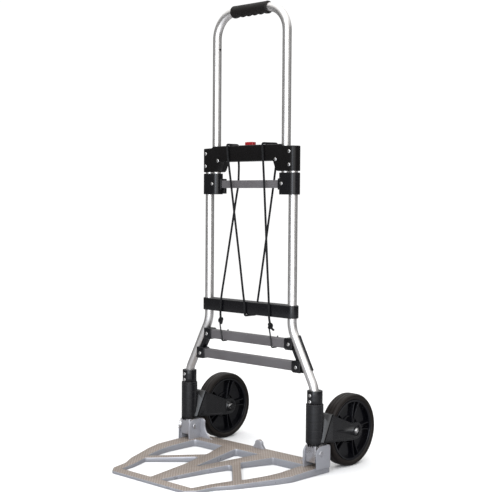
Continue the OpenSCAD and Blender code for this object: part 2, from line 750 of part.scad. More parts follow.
module bungee_knots() color("#151515") for (p = knot_at) translate(p) {
    sphere(r = 6);
    translate([0, 0, -7]) cylinder(r = 4, h = 5);
    translate([0, 0, 2]) cylinder(r = 3.4, h = 4);
}

// A wire hook from the knot down the front of the upper brace bar, round its underside and up behind it
function hook_route(top, x, front, low, turn = 3) = concat(
    [top, [x, front - 2.5, top.z - 14], [x, front, low + 14]],
    [for (a = [0 : 22.5 : 90]) [x, front + turn - turn * cos(a), low + turn - turn * sin(a)]],
    [for (a = [0 : 22.5 : 90]) [x, turn * sin(a) - front - turn, low + turn - turn * cos(a)]],
    [[x, -front, low + 14], [x, -front, low + 30]]
);

module bungee_hook(p, x) swept(
    hook_route([p.x, p.y, p.z - 6.5], x, -brace_d / 2 - 2.2, brace_upper_z - brace_w / 2 - 2.2), wire_r);

module bungee_hook_left() color("silver") bungee_hook(knot_at[0], -97);
module bungee_hook_right() color("silver") bungee_hook(knot_at[1], 97);

frame_tube_left();
frame_tube_right();
crosshead_front();
crosshead_rear();
crosshead_rivets();
release_button();
button_spring();
lock_pin_left();
lock_pin_right();
lower_crossbar();
gusset_left();
gusset_right();
brace_bar_upper();
brace_bar_lower();
brace_rivets();
sleeve_collar_left();
sleeve_collar_right();
collar_rivets();
knuckle_left();
knuckle_right();
handle_tube();
handle_grip();
slider_bracket_left();
slider_bracket_right();
slider_bar();
slider_screws();
toe_plate();
hinge_pin_left();
hinge_pin_right();
fold_gear_left();
fold_gear_right();
swivel_gear_left();
swivel_gear_right();
wheel_fork_left();
wheel_fork_right();
axle_bolt_left();
axle_bolt_right();
axle_nut_left();
axle_nut_right();
axle_spacers_left();
axle_spacers_right();
wheel_rim_left();
wheel_rim_right();
tyre_left();
tyre_right();
bungee_cord();
bungee_knots();
bungee_hook_left();
bungee_hook_right();
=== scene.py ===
from math import acos, cos, dist, exp, pi, radians, sin, sqrt, tan

import bmesh
import bpy
from mathutils import Matrix, Vector
from mathutils.geometry import tessellate_polygon


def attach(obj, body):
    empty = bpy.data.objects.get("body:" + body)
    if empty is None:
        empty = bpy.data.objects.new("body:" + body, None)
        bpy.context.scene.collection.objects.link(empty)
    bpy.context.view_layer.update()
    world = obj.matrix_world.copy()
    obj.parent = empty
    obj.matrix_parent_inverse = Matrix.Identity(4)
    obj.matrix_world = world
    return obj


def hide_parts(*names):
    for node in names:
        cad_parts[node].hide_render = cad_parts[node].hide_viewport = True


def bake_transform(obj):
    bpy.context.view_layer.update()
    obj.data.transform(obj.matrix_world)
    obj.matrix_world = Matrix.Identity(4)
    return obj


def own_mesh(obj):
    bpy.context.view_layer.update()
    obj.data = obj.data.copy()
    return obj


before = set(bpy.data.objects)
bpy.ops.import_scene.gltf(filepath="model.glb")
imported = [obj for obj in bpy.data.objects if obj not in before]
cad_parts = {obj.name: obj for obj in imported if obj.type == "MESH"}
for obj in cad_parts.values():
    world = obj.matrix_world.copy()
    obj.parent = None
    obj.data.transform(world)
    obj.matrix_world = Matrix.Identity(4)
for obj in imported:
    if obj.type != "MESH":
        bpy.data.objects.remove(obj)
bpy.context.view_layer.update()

# Lengths are in millimetres, as in the CAD part, and Shape.object() turns them into metres. Most
# shapes are drawn for the right side, at x > 0, and Shape.on() places or mirrors them.
MM = 0.001
SIDES = ("left", "right")

# Frame and handle tubes
TUBE_R, BORE_R = 12.5, 10.9
FRAME_X, SLEEVE_X, HANDLE_X = 161.5, 245.0, 134.5
FRAME_TOP, FRAME_FOOT = 881.0, 79.6
BEND_R, SPLAY_DEG = 80.0, 28
SPLAY = radians(SPLAY_DEG)
TANGENT = BEND_R * tan(SPLAY / 2)
KINK_Z = 384.0
KINK_LOW_Z = KINK_Z - (SLEEVE_X - FRAME_X) / tan(SPLAY)
HANDLE_Z, HANDLE_BEND, HANDLE_FOOT = 1266.0, 71.0, 757.0
LOCK_Z, HANDLE_TRAVEL = 865.0, 300.0

# Crosshead, slider and brace bars
HEAD_R, HEAD_LOW, HEAD_TOP = 18.5, 814.0, 888.0
HEAD_RIVETS = [(161.5, 867), (161.5, 831), (111.5, 846)]
SLIDER_LOW, SLIDER_HIGH, SLIDER_BAR_HALF = 750.0, 810.0, 117.0
CROSSBAR_R, CROSSBAR_LOW, CROSSBAR_HIGH = 17.5, 413.0, 448.5
BRACES = {"upper": (343, 164), "lower": (284, 190)}     # height of the middle, half length
BRACE_HALF_W, BRACE_HALF_H, GUSSET_HALF_W = 10.0, 13.0, 13.0
BRACE_RIVETS = [(159.5, 342), (187, 282)]
RIVET_R, RIVET_H = 4.9, 2.3

# Wheels, forks and hinges
TRAIL, WHEEL_R = 144.0, 100.0
PIN_Z = 57.5
SLEEVE_R, BLOCK_LOW, BLOCK_HIGH = 23.7, 88.0, 160.0
AXLE_BORE_R, FORK_INNER, FORK_OUTER = 6.05, 24.0, 30.0
COLLAR_LOW, COLLAR_HIGH = 190.8, 226.0

# Toe plate; its outline and windows are (x, y) corners, with a radius for each window corner
PLATE_FRONT, PLATE_REAR = -382.0, 51.0
FRONT_THICK, THICKER = 7, 15
PLATE_WALL, PLATE_CORNER_R = 4.5, 14
KNURL_PITCH = 6.8
HALF_OUTLINE = [(263, 51), (263, -110), (248, -158), (224, -214), (204, -262), (175, -308),
                (164, -358), (140, -382)]
MIDDLE_WINDOW = [(-45, -5), (0, -212), (45, -5)]
REAR_WINDOW = [(101, -5), (214, -5), (214, -108), (208, -146), (192, -198), (185, -218), (68, -101)]
FRONT_WINDOW = [(62, -130), (171, -238), (149, -296), (137, -350), (20, -350), (43, -205)]
WINDOWS = [(MIDDLE_WINDOW, (7, 3, 7)), (REAR_WINDOW, (7, 10, 9, 9, 9, 3.5, 9)),
           (FRONT_WINDOW, (9, 4, 9, 6, 4, 9))]

# Cord
CORD_R, KNOT_CORD_R, HOOK_WIRE_R = 3.0, 2.9, 2.0

# Camera, solved from the photograph's perspective: metres and degrees, for a 492 by 492 image
CAMERA_AT = (2.0811, -2.1883, 0.7401)
CAMERA_TURN, CAMERA_PITCH, CAMERA_ROLL = 43.76, 2.57, 0.4
IMAGE_WIDTH, FOCAL_PIXELS, SENSOR_MM = 492, 1070.6, 36

# Studio: degrees that the tall light stands round from the front, and the floor in metres
LOBE_TURN = 38.0
FLOOR_R, FLOOR_Z = 2.6, -0.0005


# ---- camera

def add_object(name, data):
    thing = bpy.data.objects.new(name, data)
    bpy.context.scene.collection.objects.link(thing)
    return thing


def make_camera():
    turn, pitch, roll = (radians(a) for a in (CAMERA_TURN, CAMERA_PITCH, CAMERA_ROLL))
    level = cos(pitch)
    look = Vector((-sin(turn) * level, cos(turn) * level, -sin(pitch)))
    right = look.cross(Vector((0, 0, 1))).normalized()
    up = right.cross(look)
    right, up = (cos(roll) * right + sin(roll) * up,
                 -sin(roll) * right + cos(roll) * up)
    cam = add_object("camera", bpy.data.cameras.new("camera"))
    cam.data.sensor_width = SENSOR_MM
    cam.data.lens = SENSOR_MM * FOCAL_PIXELS / IMAGE_WIDTH
    cam.data.clip_start, cam.data.clip_end = 0.05, 60
    spin = Matrix((right, up, -look)).transposed().to_4x4()
    cam.matrix_world = Matrix.Translation(CAMERA_AT) @ spin
    bpy.context.scene.camera = cam


make_camera()


# ---- materials

class Nodes:
    """The node tree of a material or world; node() adds a node and links or sets its inputs."""

    def __init__(self, block, shader="Principled BSDF"):
        block.use_nodes = True
        self.block, self.tree = block, block.node_tree
        self.shader = self.tree.nodes[shader]

    def node(self, kind, inputs=None, **settings):
        n = self.tree.nodes.new("ShaderNode" + kind)
        for key, value in settings.items():
            setattr(n, key, value)
        self.feed(n, inputs or {})
        return n

    def feed(self, n, inputs):
        for key, value in inputs.items():
            if isinstance(value, bpy.types.NodeSocket):
                self.tree.links.new(value, n.inputs[key])
            else:
                n.inputs[key].default_value = value

    def coords(self, source="Object", scale=(1, 1, 1), spin=(0, 0, 0)):
        at = self.node("TexCoord").outputs[source]
        return self.node("Mapping", {"Vector": at, "Scale": scale, "Rotation": spin}).outputs[0]

    def split(self, vector):
        return self.node("SeparateXYZ", {0: vector}).outputs

    def noise(self, at, scale, detail=3.0, rough=0.55):
        return self.node("TexNoise", {
            "Vector": at, "Scale": scale, "Detail": detail, "Roughness": rough}).outputs["Fac"]

    def maths(self, operation, first, second=0.0):
        return self.node("Math", {0: first, 1: second}, operation=operation).outputs[0]

    def span(self, value, low, high, to_low=0, to_high=1, curve="LINEAR"):
        return self.node("MapRange", {
            "Value": value, "From Min": low, "From Max": high, "To Min": to_low, "To Max": to_high},
            interpolation_type=curve).outputs[0]

    def mix(self, fac, a, b):
        n = self.node("Mix", {"Factor": fac}, data_type="RGBA")
        for index, value in ((6, a), (7, b)):
            self.feed(n, {index: value if isinstance(value, bpy.types.NodeSocket) else (*value, 1)})
        return n.outputs[2]

    def bump(self, height, distance, strength=1.0, **under):
        inputs = {"Height": height, "Distance": distance, "Strength": strength, **under}
        return self.node("Bump", inputs).outputs[0]

    def edges(self):
        """1 at convex edges, 0 on flat ground."""
        return self.span(self.node("NewGeometry").outputs["Pointiness"], 0.505, 0.56)

    def camera_ray(self):
        return self.node("LightPath").outputs["Is Camera Ray"]


def plain(name, dark, light, worn, rough, grain, bump, metallic=0.0, patch=22.0, patchy=0.25,
          wear=0.3, coat=0.0, coat_rough=0.2, specular=0.5):
    """A moulded, cast or painted surface: fine grain, slow patches, slightly worn edges."""
    m = Nodes(bpy.data.materials.new(name))
    at = m.coords()
    fine, slow = m.noise(at, grain, 2), m.noise(at, patch, 4)
    colour = m.mix(m.span(fine, 0.3, 0.7), dark, light)
    colour = m.mix(m.span(slow, 0.42, 0.72, 0, 0.55), colour, [c * (1 - patchy) for c in dark])
    worn_edges = m.maths("MULTIPLY", m.edges(), m.span(slow, 0.3, 0.7, 0.4 * wear, wear))
    roughness = m.maths("ADD", m.span(slow, 0.3, 0.7, *rough), m.span(fine, 0.3, 0.7, -0.03, 0.03))
    m.feed(m.shader, {
        "Base Color": m.mix(worn_edges, colour, worn), "Metallic": metallic, "Roughness": roughness,
        "Specular IOR Level": specular, "Coat Weight": coat, "Coat Roughness": coat_rough,
        "Normal": m.bump(fine, bump)})
    return m.block


def tube_metal():
    """Satin anodised tube, drawn along its length, which is V in the UV map."""
    m = Nodes(bpy.data.materials.new("satin_tube"))
    drawn = m.noise(m.coords("UV", (1, 0.012, 1)), 2600, 3, 0.7)
    slow = m.noise(m.coords("UV", (1, 0.3, 1)), 60, 4)
    scuff = m.noise(m.coords(), 45, 6, 0.7)
    colour = m.mix(m.span(drawn, 0.3, 0.7), (0.6, 0.58, 0.565), (0.73, 0.715, 0.7))
    colour = m.mix(m.span(slow, 0.45, 0.7, 0, 0.35), colour, (0.58, 0.565, 0.55))
    roughness = m.maths("ADD", m.span(drawn, 0.3, 0.7, 0.31, 0.41), m.span(scuff, 0.5, 0.75, 0, 0.08))
    m.feed(m.shader, {"Base Color": colour, "Metallic": 0.96, "Roughness": roughness,
                      "Normal": m.bump(drawn, 0.00002)})
    return m.block


def cast_metal():
    """Cast plate: a diamond-knurled top and smoother walls, with painted light: the top is painted a warm,
    lighter grey and the walls a bluer, darker grey by the way they face, and painted shade darkens the
    knurl's grooves.
    """
    m = Nodes(bpy.data.materials.new("cast_plate"))
    at = m.coords()
    upward = m.split(m.coords("Normal"))[2]
    top = m.span(upward, 0.75, 0.95)
    fine, slow = m.noise(at, 700, 4, 0.65), m.noise(at, 16, 5)

    pitch = KNURL_PITCH * MM
    turned = m.split(m.coords(spin=(0, 0, radians(45))))
    ridges = [m.span(m.maths("PINGPONG", way, pitch / 2), 0.17 * pitch, 0.31 * pitch)
              for way in (turned[0], turned[1])]
    stud = m.maths("MULTIPLY", ridges[0], m.span(ridges[1], 0, 1, 0.55, 1))

    # Painted light: lit and shaded copies of the cast colour, the top painted lighter and warmer and the
    # walls darker and bluer.
    lit_top_colour = m.mix(m.span(fine, 0.3, 0.7), (0.41, 0.352, 0.312), (0.53, 0.462, 0.412))
    shaded_wall_colour = m.mix(m.span(fine, 0.3, 0.7), (0.31, 0.314, 0.34), (0.41, 0.414, 0.448))
    # Painted shade: the grooves between the knurl's studs are painted dark, as shade in the recesses.
    groove = m.mix(stud, (0.15, 0.116, 0.092), lit_top_colour)
    # Faces that look up get the painted lit copy, the walls the painted shaded copy.
    colour = m.mix(top, shaded_wall_colour, groove)
    colour = m.mix(m.span(slow, 0.45, 0.75, 0, 0.2), colour, (0.19, 0.175, 0.165))
    roughness = m.maths("ADD", m.span(upward, 0.55, 0.9, 0.3, 0.44), m.span(slow, 0.3, 0.7, -0.04, 0.06))
    knurl = m.bump(m.maths("MULTIPLY", top, stud), 0.0009, 0.9, Normal=m.bump(fine, 0.00006))
    m.feed(m.shader, {"Base Color": colour, "Metallic": 0.4, "Roughness": roughness, "Normal": knurl})
    return m.block


def woven_cord():
    """Braided cord sleeve; U runs round the cord and V along it, both in cord radii."""
    m = Nodes(bpy.data.materials.new("braided_cord"))
    bands = []
    for lean in (0.7, -0.7):
        inputs = {"Vector": m.coords("UV", spin=(0, 0, lean)), "Scale": 1.6, "Distortion": 0.4}
        bands.append(m.node("TexWave", inputs, wave_type="BANDS", bands_direction="Y").outputs["Fac"])
    weave = m.maths("MAXIMUM", *bands)
    fuzz = m.noise(m.coords(), 3000, 3)
    colour = m.mix(weave, (0.0018, 0.0018, 0.0021), (0.008, 0.008, 0.0092))
    m.feed(m.shader, {"Base Color": m.mix(m.span(fuzz, 0.55, 0.8, 0, 0.3), colour, (0.018, 0.018, 0.02)),
                      "Roughness": m.span(fuzz, 0.3, 0.7, 0.6, 0.8), "Specular IOR Level": 0.25,
                      "Normal": m.bump(weave, 0.0004)})
    return m.block


TUBE = tube_metal()
CAST = cast_metal()
CORD = woven_cord()
PLASTIC = plain("satin_black_plastic", (0.002, 0.0019, 0.0024), (0.0042, 0.004, 0.005),
                (0.018, 0.019, 0.023), rough=(0.22, 0.31), grain=1100, bump=0.00005, wear=0.2, specular=0.36)
PEBBLE = plain("pebbled_black_plastic", (0.0024, 0.002, 0.002), (0.0052, 0.0045, 0.0045),
               (0.022, 0.022, 0.025), rough=(0.24, 0.34), grain=620, bump=0.0001, wear=0.2, specular=0.2)
GLOSS = plain("moulded_wheel_plastic", (0.0016, 0.0016, 0.0026), (0.0036, 0.0036, 0.0054),
              (0.014, 0.014, 0.017), rough=(0.12, 0.21), grain=500, bump=0.00003, wear=0.2,
              coat=0.05, coat_rough=0.1, specular=0.18)
RUBBER = plain("tyre_rubber", (0.0036, 0.0025, 0.002), (0.0095, 0.0062, 0.0046),
               (0.022, 0.016, 0.012), rough=(0.4, 0.54), grain=420, bump=0.0001, patch=30, specular=0.22)
GRIP = plain("grip_foam", (0.0032, 0.0026, 0.0024), (0.0085, 0.0068, 0.006),
             (0.016, 0.014, 0.012), rough=(0.5, 0.66), grain=1500, bump=0.00025, wear=0.4, specular=0.2)
BAR = plain("grey_painted_bar", (0.062, 0.057, 0.059), (0.088, 0.081, 0.084), (0.3, 0.29, 0.3),
            rough=(0.42, 0.56), metallic=0.1, grain=1300, bump=0.00005, patchy=0.18, wear=0.35, specular=0.35)
STEEL = plain("bright_steel", (0.46, 0.45, 0.44), (0.62, 0.61, 0.6), (0.72, 0.72, 0.72),
              rough=(0.2, 0.34), metallic=1.0, grain=1500, bump=0.00003, patchy=0.3)
KNUCKLE = plain("cast_knuckle", (0.46, 0.46, 0.49), (0.6, 0.6, 0.63), (0.74, 0.74, 0.76),
                rough=(0.24, 0.36), metallic=0.95, grain=800, bump=0.00006)
RED = plain("red_button_plastic", (0.22, 0.004, 0.007), (0.3, 0.008, 0.012), (0.36, 0.05, 0.05),
            rough=(0.24, 0.34), grain=700, bump=0.00004, patchy=0.15, specular=0.35)
HOOK = plain("hook_wire_steel", (0.004, 0.0038, 0.004), (0.009, 0.0085, 0.009), (0.1, 0.1, 0.1),
             rough=(0.34, 0.46), metallic=0.3, grain=1500, bump=0.00003, patchy=0.3)
SPRING = plain("spring_steel", (0.3, 0.3, 0.31), (0.45, 0.45, 0.46), (0.6, 0.6, 0.6),
               rough=(0.25, 0.38), metallic=1.0, grain=1500, bump=0.00003, patchy=0.3)


# ---- outlines

def arc(centre, r, start, end, steps):
    """Points on an arc in a plane, with its angles in degrees."""
    turns = [radians(start + (end - start) * k / steps) for k in range(steps + 1)]
    return [(centre[0] + r * cos(t), centre[1] + r * sin(t)) for t in turns]


def circle(centre, r, sides):
    return arc(centre, r, 0, 360, sides)[:-1]


def bend(centre, r, start, end, steps):
    """An arc in the X-Z plane, for a tube's route."""
    return [(x, 0, z) for x, z in arc(centre, r, start, end, steps)]


def rect(x0, y0, x1, y1):
    """The corners of a rectangle, counter-clockwise."""
    return [(x0, y0), (x1, y0), (x1, y1), (x0, y1)]


def offset(outline, d):
    """The outline, counter-clockwise, moved inwards by d."""
    out, n = [], len(outline)
    for i in range(n):
        a, b, c = (Vector(outline[j % n]) for j in (i - 1, i, i + 1))
        u, v = (b - a).normalized(), (c - b).normalized()
        n1, n2 = Vector((-u.y, u.x)), Vector((-v.y, v.x))
        out.append(tuple(b + d * (n1 + n2) / (1 + n1.dot(n2))))
    return out


def rounded(corners, r, steps=6):
    """A polygon with round corners; r is one radius or one for each corner."""
    out, n = [], len(corners)
    for i, b in enumerate(corners):
        b = Vector(b)
        u, v = (Vector(corners[i - 1]) - b).normalized(), (Vector(corners[(i + 1) % n]) - b).normalized()
        half = acos(max(-1, min(1, u.dot(v)))) / 2
        radius = r[i] if isinstance(r, (list, tuple)) else r
        t = radius / tan(half)
        middle = b + (u + v).normalized() * radius / sin(half)
        first, last = b + u * t - middle, b + v * t - middle
        for k in range(steps + 1):
            out.append(tuple(middle + radius * first.slerp(last, k / steps).normalized()))
    return out


def stadium(x0, x1, r):
    """Outline with round ends about x0 and x1."""
    steps = 14
    right = [(x1 + r * sin(a), -r * cos(a)) for a in (k * pi / steps for k in range(steps + 1))]
    return right + [(x0 + x1 - x, -y) for x, y in right]


def turned_left(points):
    """The points in counter-clockwise order."""
    area = sum(a[0] * b[1] - b[0] * a[1] for a, b in zip(points, points[1:] + points[:1]))
    return points if area > 0 else points[::-1]


def to_xy(u, v, w):
    return u, v, w


def to_xz(u, v, w):
    return u, w, v


def to_yz(u, v, w):
    return w, u, v


# ---- solid shapes

class Shape:
    """Points and faces in millimetres, with a UV for each face corner; most methods add to them."""

    def __init__(self):
        self.points, self.faces, self.uvs = [], [], []

    def add(self, points, faces, uvs=None):
        base = len(self.points)
        self.points += [tuple(p) for p in points]
        self.faces += [[base + i for i in f] for f in faces]
        self.uvs += uvs or [[(0, 0)] * len(f) for f in faces]
        return self

    def join(self, other):
        return self.add(other.points, other.faces, other.uvs)

    def rings(self, rings, ends="caps", v_at=None, u_scale=1.0):
        """Joins rings of equal length; ends is caps, none or loop."""
        n, count = len(rings[0]), len(rings)
        faces, uvs = [], []
        for i in range(count if ends == "loop" else count - 1):
            j = (i + 1) % count
            low, high = (v_at[i], v_at[j]) if v_at else (i, i + 1)
            for k in range(n):
                m = (k + 1) % n
                u0, u1 = k * u_scale, (k + 1) * u_scale
                faces.append([i * n + k, i * n + m, j * n + m, j * n + k])
                uvs.append([(u0, low), (u1, low), (u1, high), (u0, high)])
        if ends == "caps":
            for cap in (list(range(n))[::-1], [(count - 1) * n + k for k in range(n)]):
                faces.append(cap)
                uvs.append([(0, 0)] * n)
        return self.add([p for ring in rings for p in ring], faces, uvs)

    def slab(self, outline, w0, w1, place=to_xy, soft=0.8, holes=(), steps=3):
        """An outline extruded from w0 to w1 with rounded edges; holes are outlines too."""
        turns = [k / steps * pi / 2 for k in range(steps + 1)]
        levels = [(soft * (1 - sin(t)), w0 + soft * (1 - cos(t))) for t in turns]
        levels += [(d, w0 + w1 - w) for d, w in reversed(levels)]
        loops = [list(outline)] + [list(h)[::-1] for h in holes]
        shape = Shape()
        starts = []
        for loop in loops:
            starts.append(len(shape.points))
            shape.rings([[place(u, v, w) for u, v in offset(loop, d)] for d, w in levels], ends="none")
        for level in (0, len(levels) - 1):
            index, flat = [], []
            for loop, start in zip(loops, starts):
                n = len(loop)
                index += range(start + level * n, start + (level + 1) * n)
                flat.append([Vector((*p, 0)) for p in offset(loop, levels[level][0])])
            tris = tessellate_polygon(flat)
            shape.faces += [[index[i] for i in t] for t in tris]
            shape.uvs += [[(0, 0)] * 3 for _ in tris]
        return self.join(shape)

    def box(self, low, high, soft=0.8):
        (x0, y0, z0), (x1, y1, z1) = low, high
        return self.slab(rounded(rect(x0, y0, x1, y1), soft * 1.2, 3), z0, z1, soft=soft)

    def lathe(self, profile, centre=(0, 0, 0), axis="z", sides=64):
        """Turns (radius, height) points about an axis; a closed profile if it doesn't start on the axis."""
        def at(r, h, a):
            c, s = r * cos(a), r * sin(a)
            p = {"x": (h, c, s), "y": (s, h, c), "z": (c, s, h)}[axis]
            return tuple(q + o for q, o in zip(p, centre))
        on_axis = profile[0][0] < 1e-6
        body = profile[1:-1] if on_axis else profile
        rings = [[at(r, h, k * 2 * pi / sides) for k in range(sides)] for r, h in body]
        v, run = [0], 0
        for p, q in zip(body, body[1:]):
            run += dist(p, q)
            v.append(run)
        start = len(self.points)
        self.rings(rings, ends="none" if on_axis else "loop", v_at=v,
                   u_scale=2 * pi * max(r for r, _ in body) / sides)
        if on_axis:
            for ring, (_, h) in ((0, profile[0]), (len(rings) - 1, profile[-1])):
                self.points.append(at(0, h, 0))
                tip = len(self.points) - 1
                base = start + ring * sides
                for k in range(sides):
                    f = [tip, base + (k + 1) % sides, base + k]
                    self.faces.append(f if ring == 0 else f[::-1])
                    self.uvs.append([(0, 0)] * 3)
        return self

    def sweep(self, route, r, sides=36, bore=None, unit=1.0):
        """A round bar, or a tube with a bore, along a route; its UVs count in units of this many mm."""
        route = [Vector(p) for p in route]
        n = len(route)
        along = [(route[min(i + 1, n - 1)] - route[max(i - 1, 0)]).normalized() for i in range(n)]
        side = along[0].orthogonal().normalized()
        side = Vector((0, 1, 0)) if abs(along[0].y) < 0.5 else side
        frames, v, run = [], [], 0
        for i in range(n):
            side = (side - along[i] * side.dot(along[i])).normalized()
            frames.append((side.copy(), along[i].cross(side)))
            run += (route[i] - route[i - 1]).length if i else 0
            v.append(run / unit)

        def ring(i, radius):
            a, b = frames[i]
            return [route[i] + radius * (cos(t) * a + sin(t) * b)
                    for t in (k * 2 * pi / sides for k in range(sides))]
        u_scale = 2 * pi * r / sides / unit
        outer = [ring(i, r) for i in range(n)]
        if bore is None:
            return self.rings(outer, v_at=v, u_scale=u_scale)
        inner = [ring(i, bore) for i in range(n)]
        lip = 0.35
        outer[0], outer[-1] = ring(0, r - lip), ring(n - 1, r - lip)
        outer.insert(1, [p + lip * along[0] for p in ring(0, r)])
        outer.insert(-1, [p - lip * along[-1] for p in ring(n - 1, r)])
        v_all = [v[0], v[0]] + v[1:-1] + [v[-1], v[-1]] + v[::-1]
        return self.rings(outer + inner[::-1], ends="loop", v_at=v_all, u_scale=u_scale)

    def mirrored(self):
        """Adds a copy reflected in x = 0."""
        return self.join(self.on("left"))

    def on(self, side, at=0.0):
        """A copy of this right-hand shape, moved out by at, on the left or the right."""
        out, flip = Shape(), side == "left"
        sign = -1 if flip else 1
        out.points = [(sign * (x + at), y, z) for x, y, z in self.points]
        out.faces = [f[::-1] if flip else f[:] for f in self.faces]
        out.uvs = [u[::-1] if flip else u[:] for u in self.uvs]
        return out

    def object(self, name, smooth=40):
        mesh = bpy.data.meshes.new(name)
        mesh.from_pydata([tuple(MM * c for c in p) for p in self.points], [], self.faces)
        layer = mesh.uv_layers.new(name="UVMap")
        for polygon, uv in zip(mesh.polygons, self.uvs):
            for loop, pair in zip(polygon.loop_indices, uv):
                layer.data[loop].uv = pair
        tidy_normals(mesh, smooth)
        return add_object(name, mesh)

    def piece(self, name, material, body, node, slot, cut=None, smooth=40):
        """A finished piece: its cut-outs, material, body and the CAD node it stands for; slot is not used."""
        piece = self.object(name, smooth)
        if cut is not None:
            carve(piece, cut.object(name + "_cutter"), smooth)
        piece.data.materials.clear()
        piece.data.materials.append(material)
        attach(piece, body)
        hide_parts(node)
        return piece


def shade(mesh, smooth):
    """Smooth below an angle in degrees, sharp above it."""
    mesh.shade_smooth()
    mesh.set_sharp_from_angle(angle=radians(smooth))


def tidy_normals(mesh, smooth, weld=None):
    """Turns the faces outwards; points closer than weld, in metres, are joined."""
    work = bmesh.new()
    work.from_mesh(mesh)
    if weld:
        bmesh.ops.remove_doubles(work, verts=work.verts, dist=weld)
    bmesh.ops.recalc_face_normals(work, faces=work.faces)
    work.to_mesh(mesh)
    work.free()
    shade(mesh, smooth)


def carve(piece, cutter, smooth):
    """Takes the cutter's shape out of the piece for good."""
    change = piece.modifiers.new("cut", "BOOLEAN")
    change.operation, change.solver, change.object = "DIFFERENCE", "EXACT", cutter
    change.use_self = True
    bpy.context.view_layer.update()
    result = bpy.data.meshes.new_from_object(piece.evaluated_get(bpy.context.evaluated_depsgraph_get()))
    piece.modifiers.clear()
    piece.data = result
    bpy.data.objects.remove(cutter)
    shade(result, smooth)


def rod(r, low, high, centre=(0, 0, 0), axis="z", sides=40):
    return Shape().lathe([(0, low), (r, low), (r, high), (0, high)], centre, axis, sides)


def posts(r, low, high, x):
    """An upright rod on each side of the middle, to cut the tubes' bores."""
    return rod(r, low, high, (-x, 0, 0)).join(rod(r, low, high, (x, 0, 0)))


def dome(shape, x, face_y, z, r, h):
    """A pan head on a face at face_y, which looks away from y = 0."""
    turn = 1 if face_y < 0 else -1
    profile = [(0, 0.6), (r, 0.6), (r, 0), (r, -0.35 * h)]
    profile += [(r * cos(t), -0.35 * h - 0.65 * h * sin(t)) for t in (0.35, 0.7, 1.05, 1.35)]
    profile += [(0, -h)]
    shape.lathe([(p, turn * q) for p, q in profile], (x, face_y, z), "y", 28)


def rivet_heads(places, half_depth, h):
    """Rivet heads on the front and rear faces, on both sides."""
    rivets = Shape()
    for x, z in places:
        for s in (-1, 1):
            for y in (-half_depth, half_depth):
                dome(rivets, s * x, y, z, RIVET_R, h)
    return rivets


# ---- frame and handle tubes

def frame_tubes():
    route = [(FRAME_X, 0, FRAME_TOP)]
    route += bend((FRAME_X + BEND_R, KINK_Z + TANGENT), BEND_R, 180, 180 + SPLAY_DEG, 10)
    route += bend((SLEEVE_X - BEND_R, KINK_LOW_Z - TANGENT), BEND_R, SPLAY_DEG, 0, 10)
    route += [(SLEEVE_X, 0, FRAME_FOOT)]
    tube = Shape().sweep(route, TUBE_R, 48, BORE_R, unit=1 / MM)
    for side in SIDES:
        tube.on(side).piece(f"{side}_splayed_tube", TUBE, "frame", f"frame_tube_{side}", "aluminium_tube")


def handle():
    half = [(HANDLE_X, 0, HANDLE_FOOT)]
    half += bend((HANDLE_X - HANDLE_BEND, HANDLE_Z - HANDLE_BEND), HANDLE_BEND, 0, 90, 20)
    route = half + [(-x, y, z) for x, y, z in reversed(half)]
    holes = Shape()
    for z in (LOCK_Z, LOCK_Z + HANDLE_TRAVEL):
        holes.join(rod(4, -HANDLE_X, HANDLE_X, (0, 0, z), "x"))
    Shape().sweep(route, TUBE_R, 48, BORE_R, unit=1 / MM).piece(
        "loop_handle_tube", TUBE, "handle", "handle_tube", "aluminium_tube", cut=holes)


def grip():
    """A foam grip with a bead at each end and finger scallops underneath."""
    half, radius, bore, sides, stations = 69, 17.3, TUBE_R + 0.05, 56, 150
    scallop, scallop_depth = 23.0, 3.0
    rings = []
    for i in range(stations + 1):
        x = -half + 2 * half * i / stations
        end = half - abs(x)
        r = radius - 2.6 * max(0.0, 1 - end / 4) ** 2 + 0.5 * exp(-((end - 6.5) / 2.2) ** 2)
        wave = 0.5 + 0.5 * cos(2 * pi * x / scallop)
        dip = scallop_depth * wave * min(1, max(0, (end - 9) / 5))
        ring = []
        for a in (2 * pi * k / sides for k in range(sides)):
            rr = r - dip * max(0.0, -sin(a)) ** 1.5
            ring.append((x, rr * cos(a), HANDLE_Z + rr * sin(a)))
        rings.append(ring)
    rings += [[(x, y, z) for y, z in circle((0, HANDLE_Z), bore, sides)] for x in (half, -half)]
    Shape().rings(rings, ends="loop").piece(
        "handle_foam_grip", GRIP, "handle", "handle_grip", "grip_rubber", smooth=60)


# ---- crosshead, button and slider

def head_stations():
    """Stations of the crosshead along x: (x, half depth, bottom, top), right half outwards."""
    arch = [(0, 843), (60, 843), (96, 843), (99.5, 842.6), (101.8, 841.2), (103.3, 839), (106, 832.5),
            (109, 824.8), (110.6, 820.6), (112.2, 817.8), (114.4, 815.6), (117, 814.3)]
    arch += [(x, HEAD_LOW) for x in (120, 131, 133, 137, 139, 150, FRAME_X)]
    stations = [(x, HEAD_R, z) for x, z in arch]
    end_steps, end_turn = 12, radians(7.3)
    for a in (k * end_turn for k in range(1, end_steps + 1)):
        stations.append((FRAME_X + HEAD_R * sin(a), HEAD_R * cos(a), HEAD_LOW))

    def top(x):
        """The top steps down beside the handle tubes, then falls gently outwards."""
        step_x, step_width, step_drop, fall = 131, 8, 5, 0.02
        past = x - step_x
        return HEAD_TOP - step_drop * min(1, max(0, past / step_width)) - max(0, past - step_width) * fall
    return [(x, depth, low, top(x)) for x, depth, low in stations]


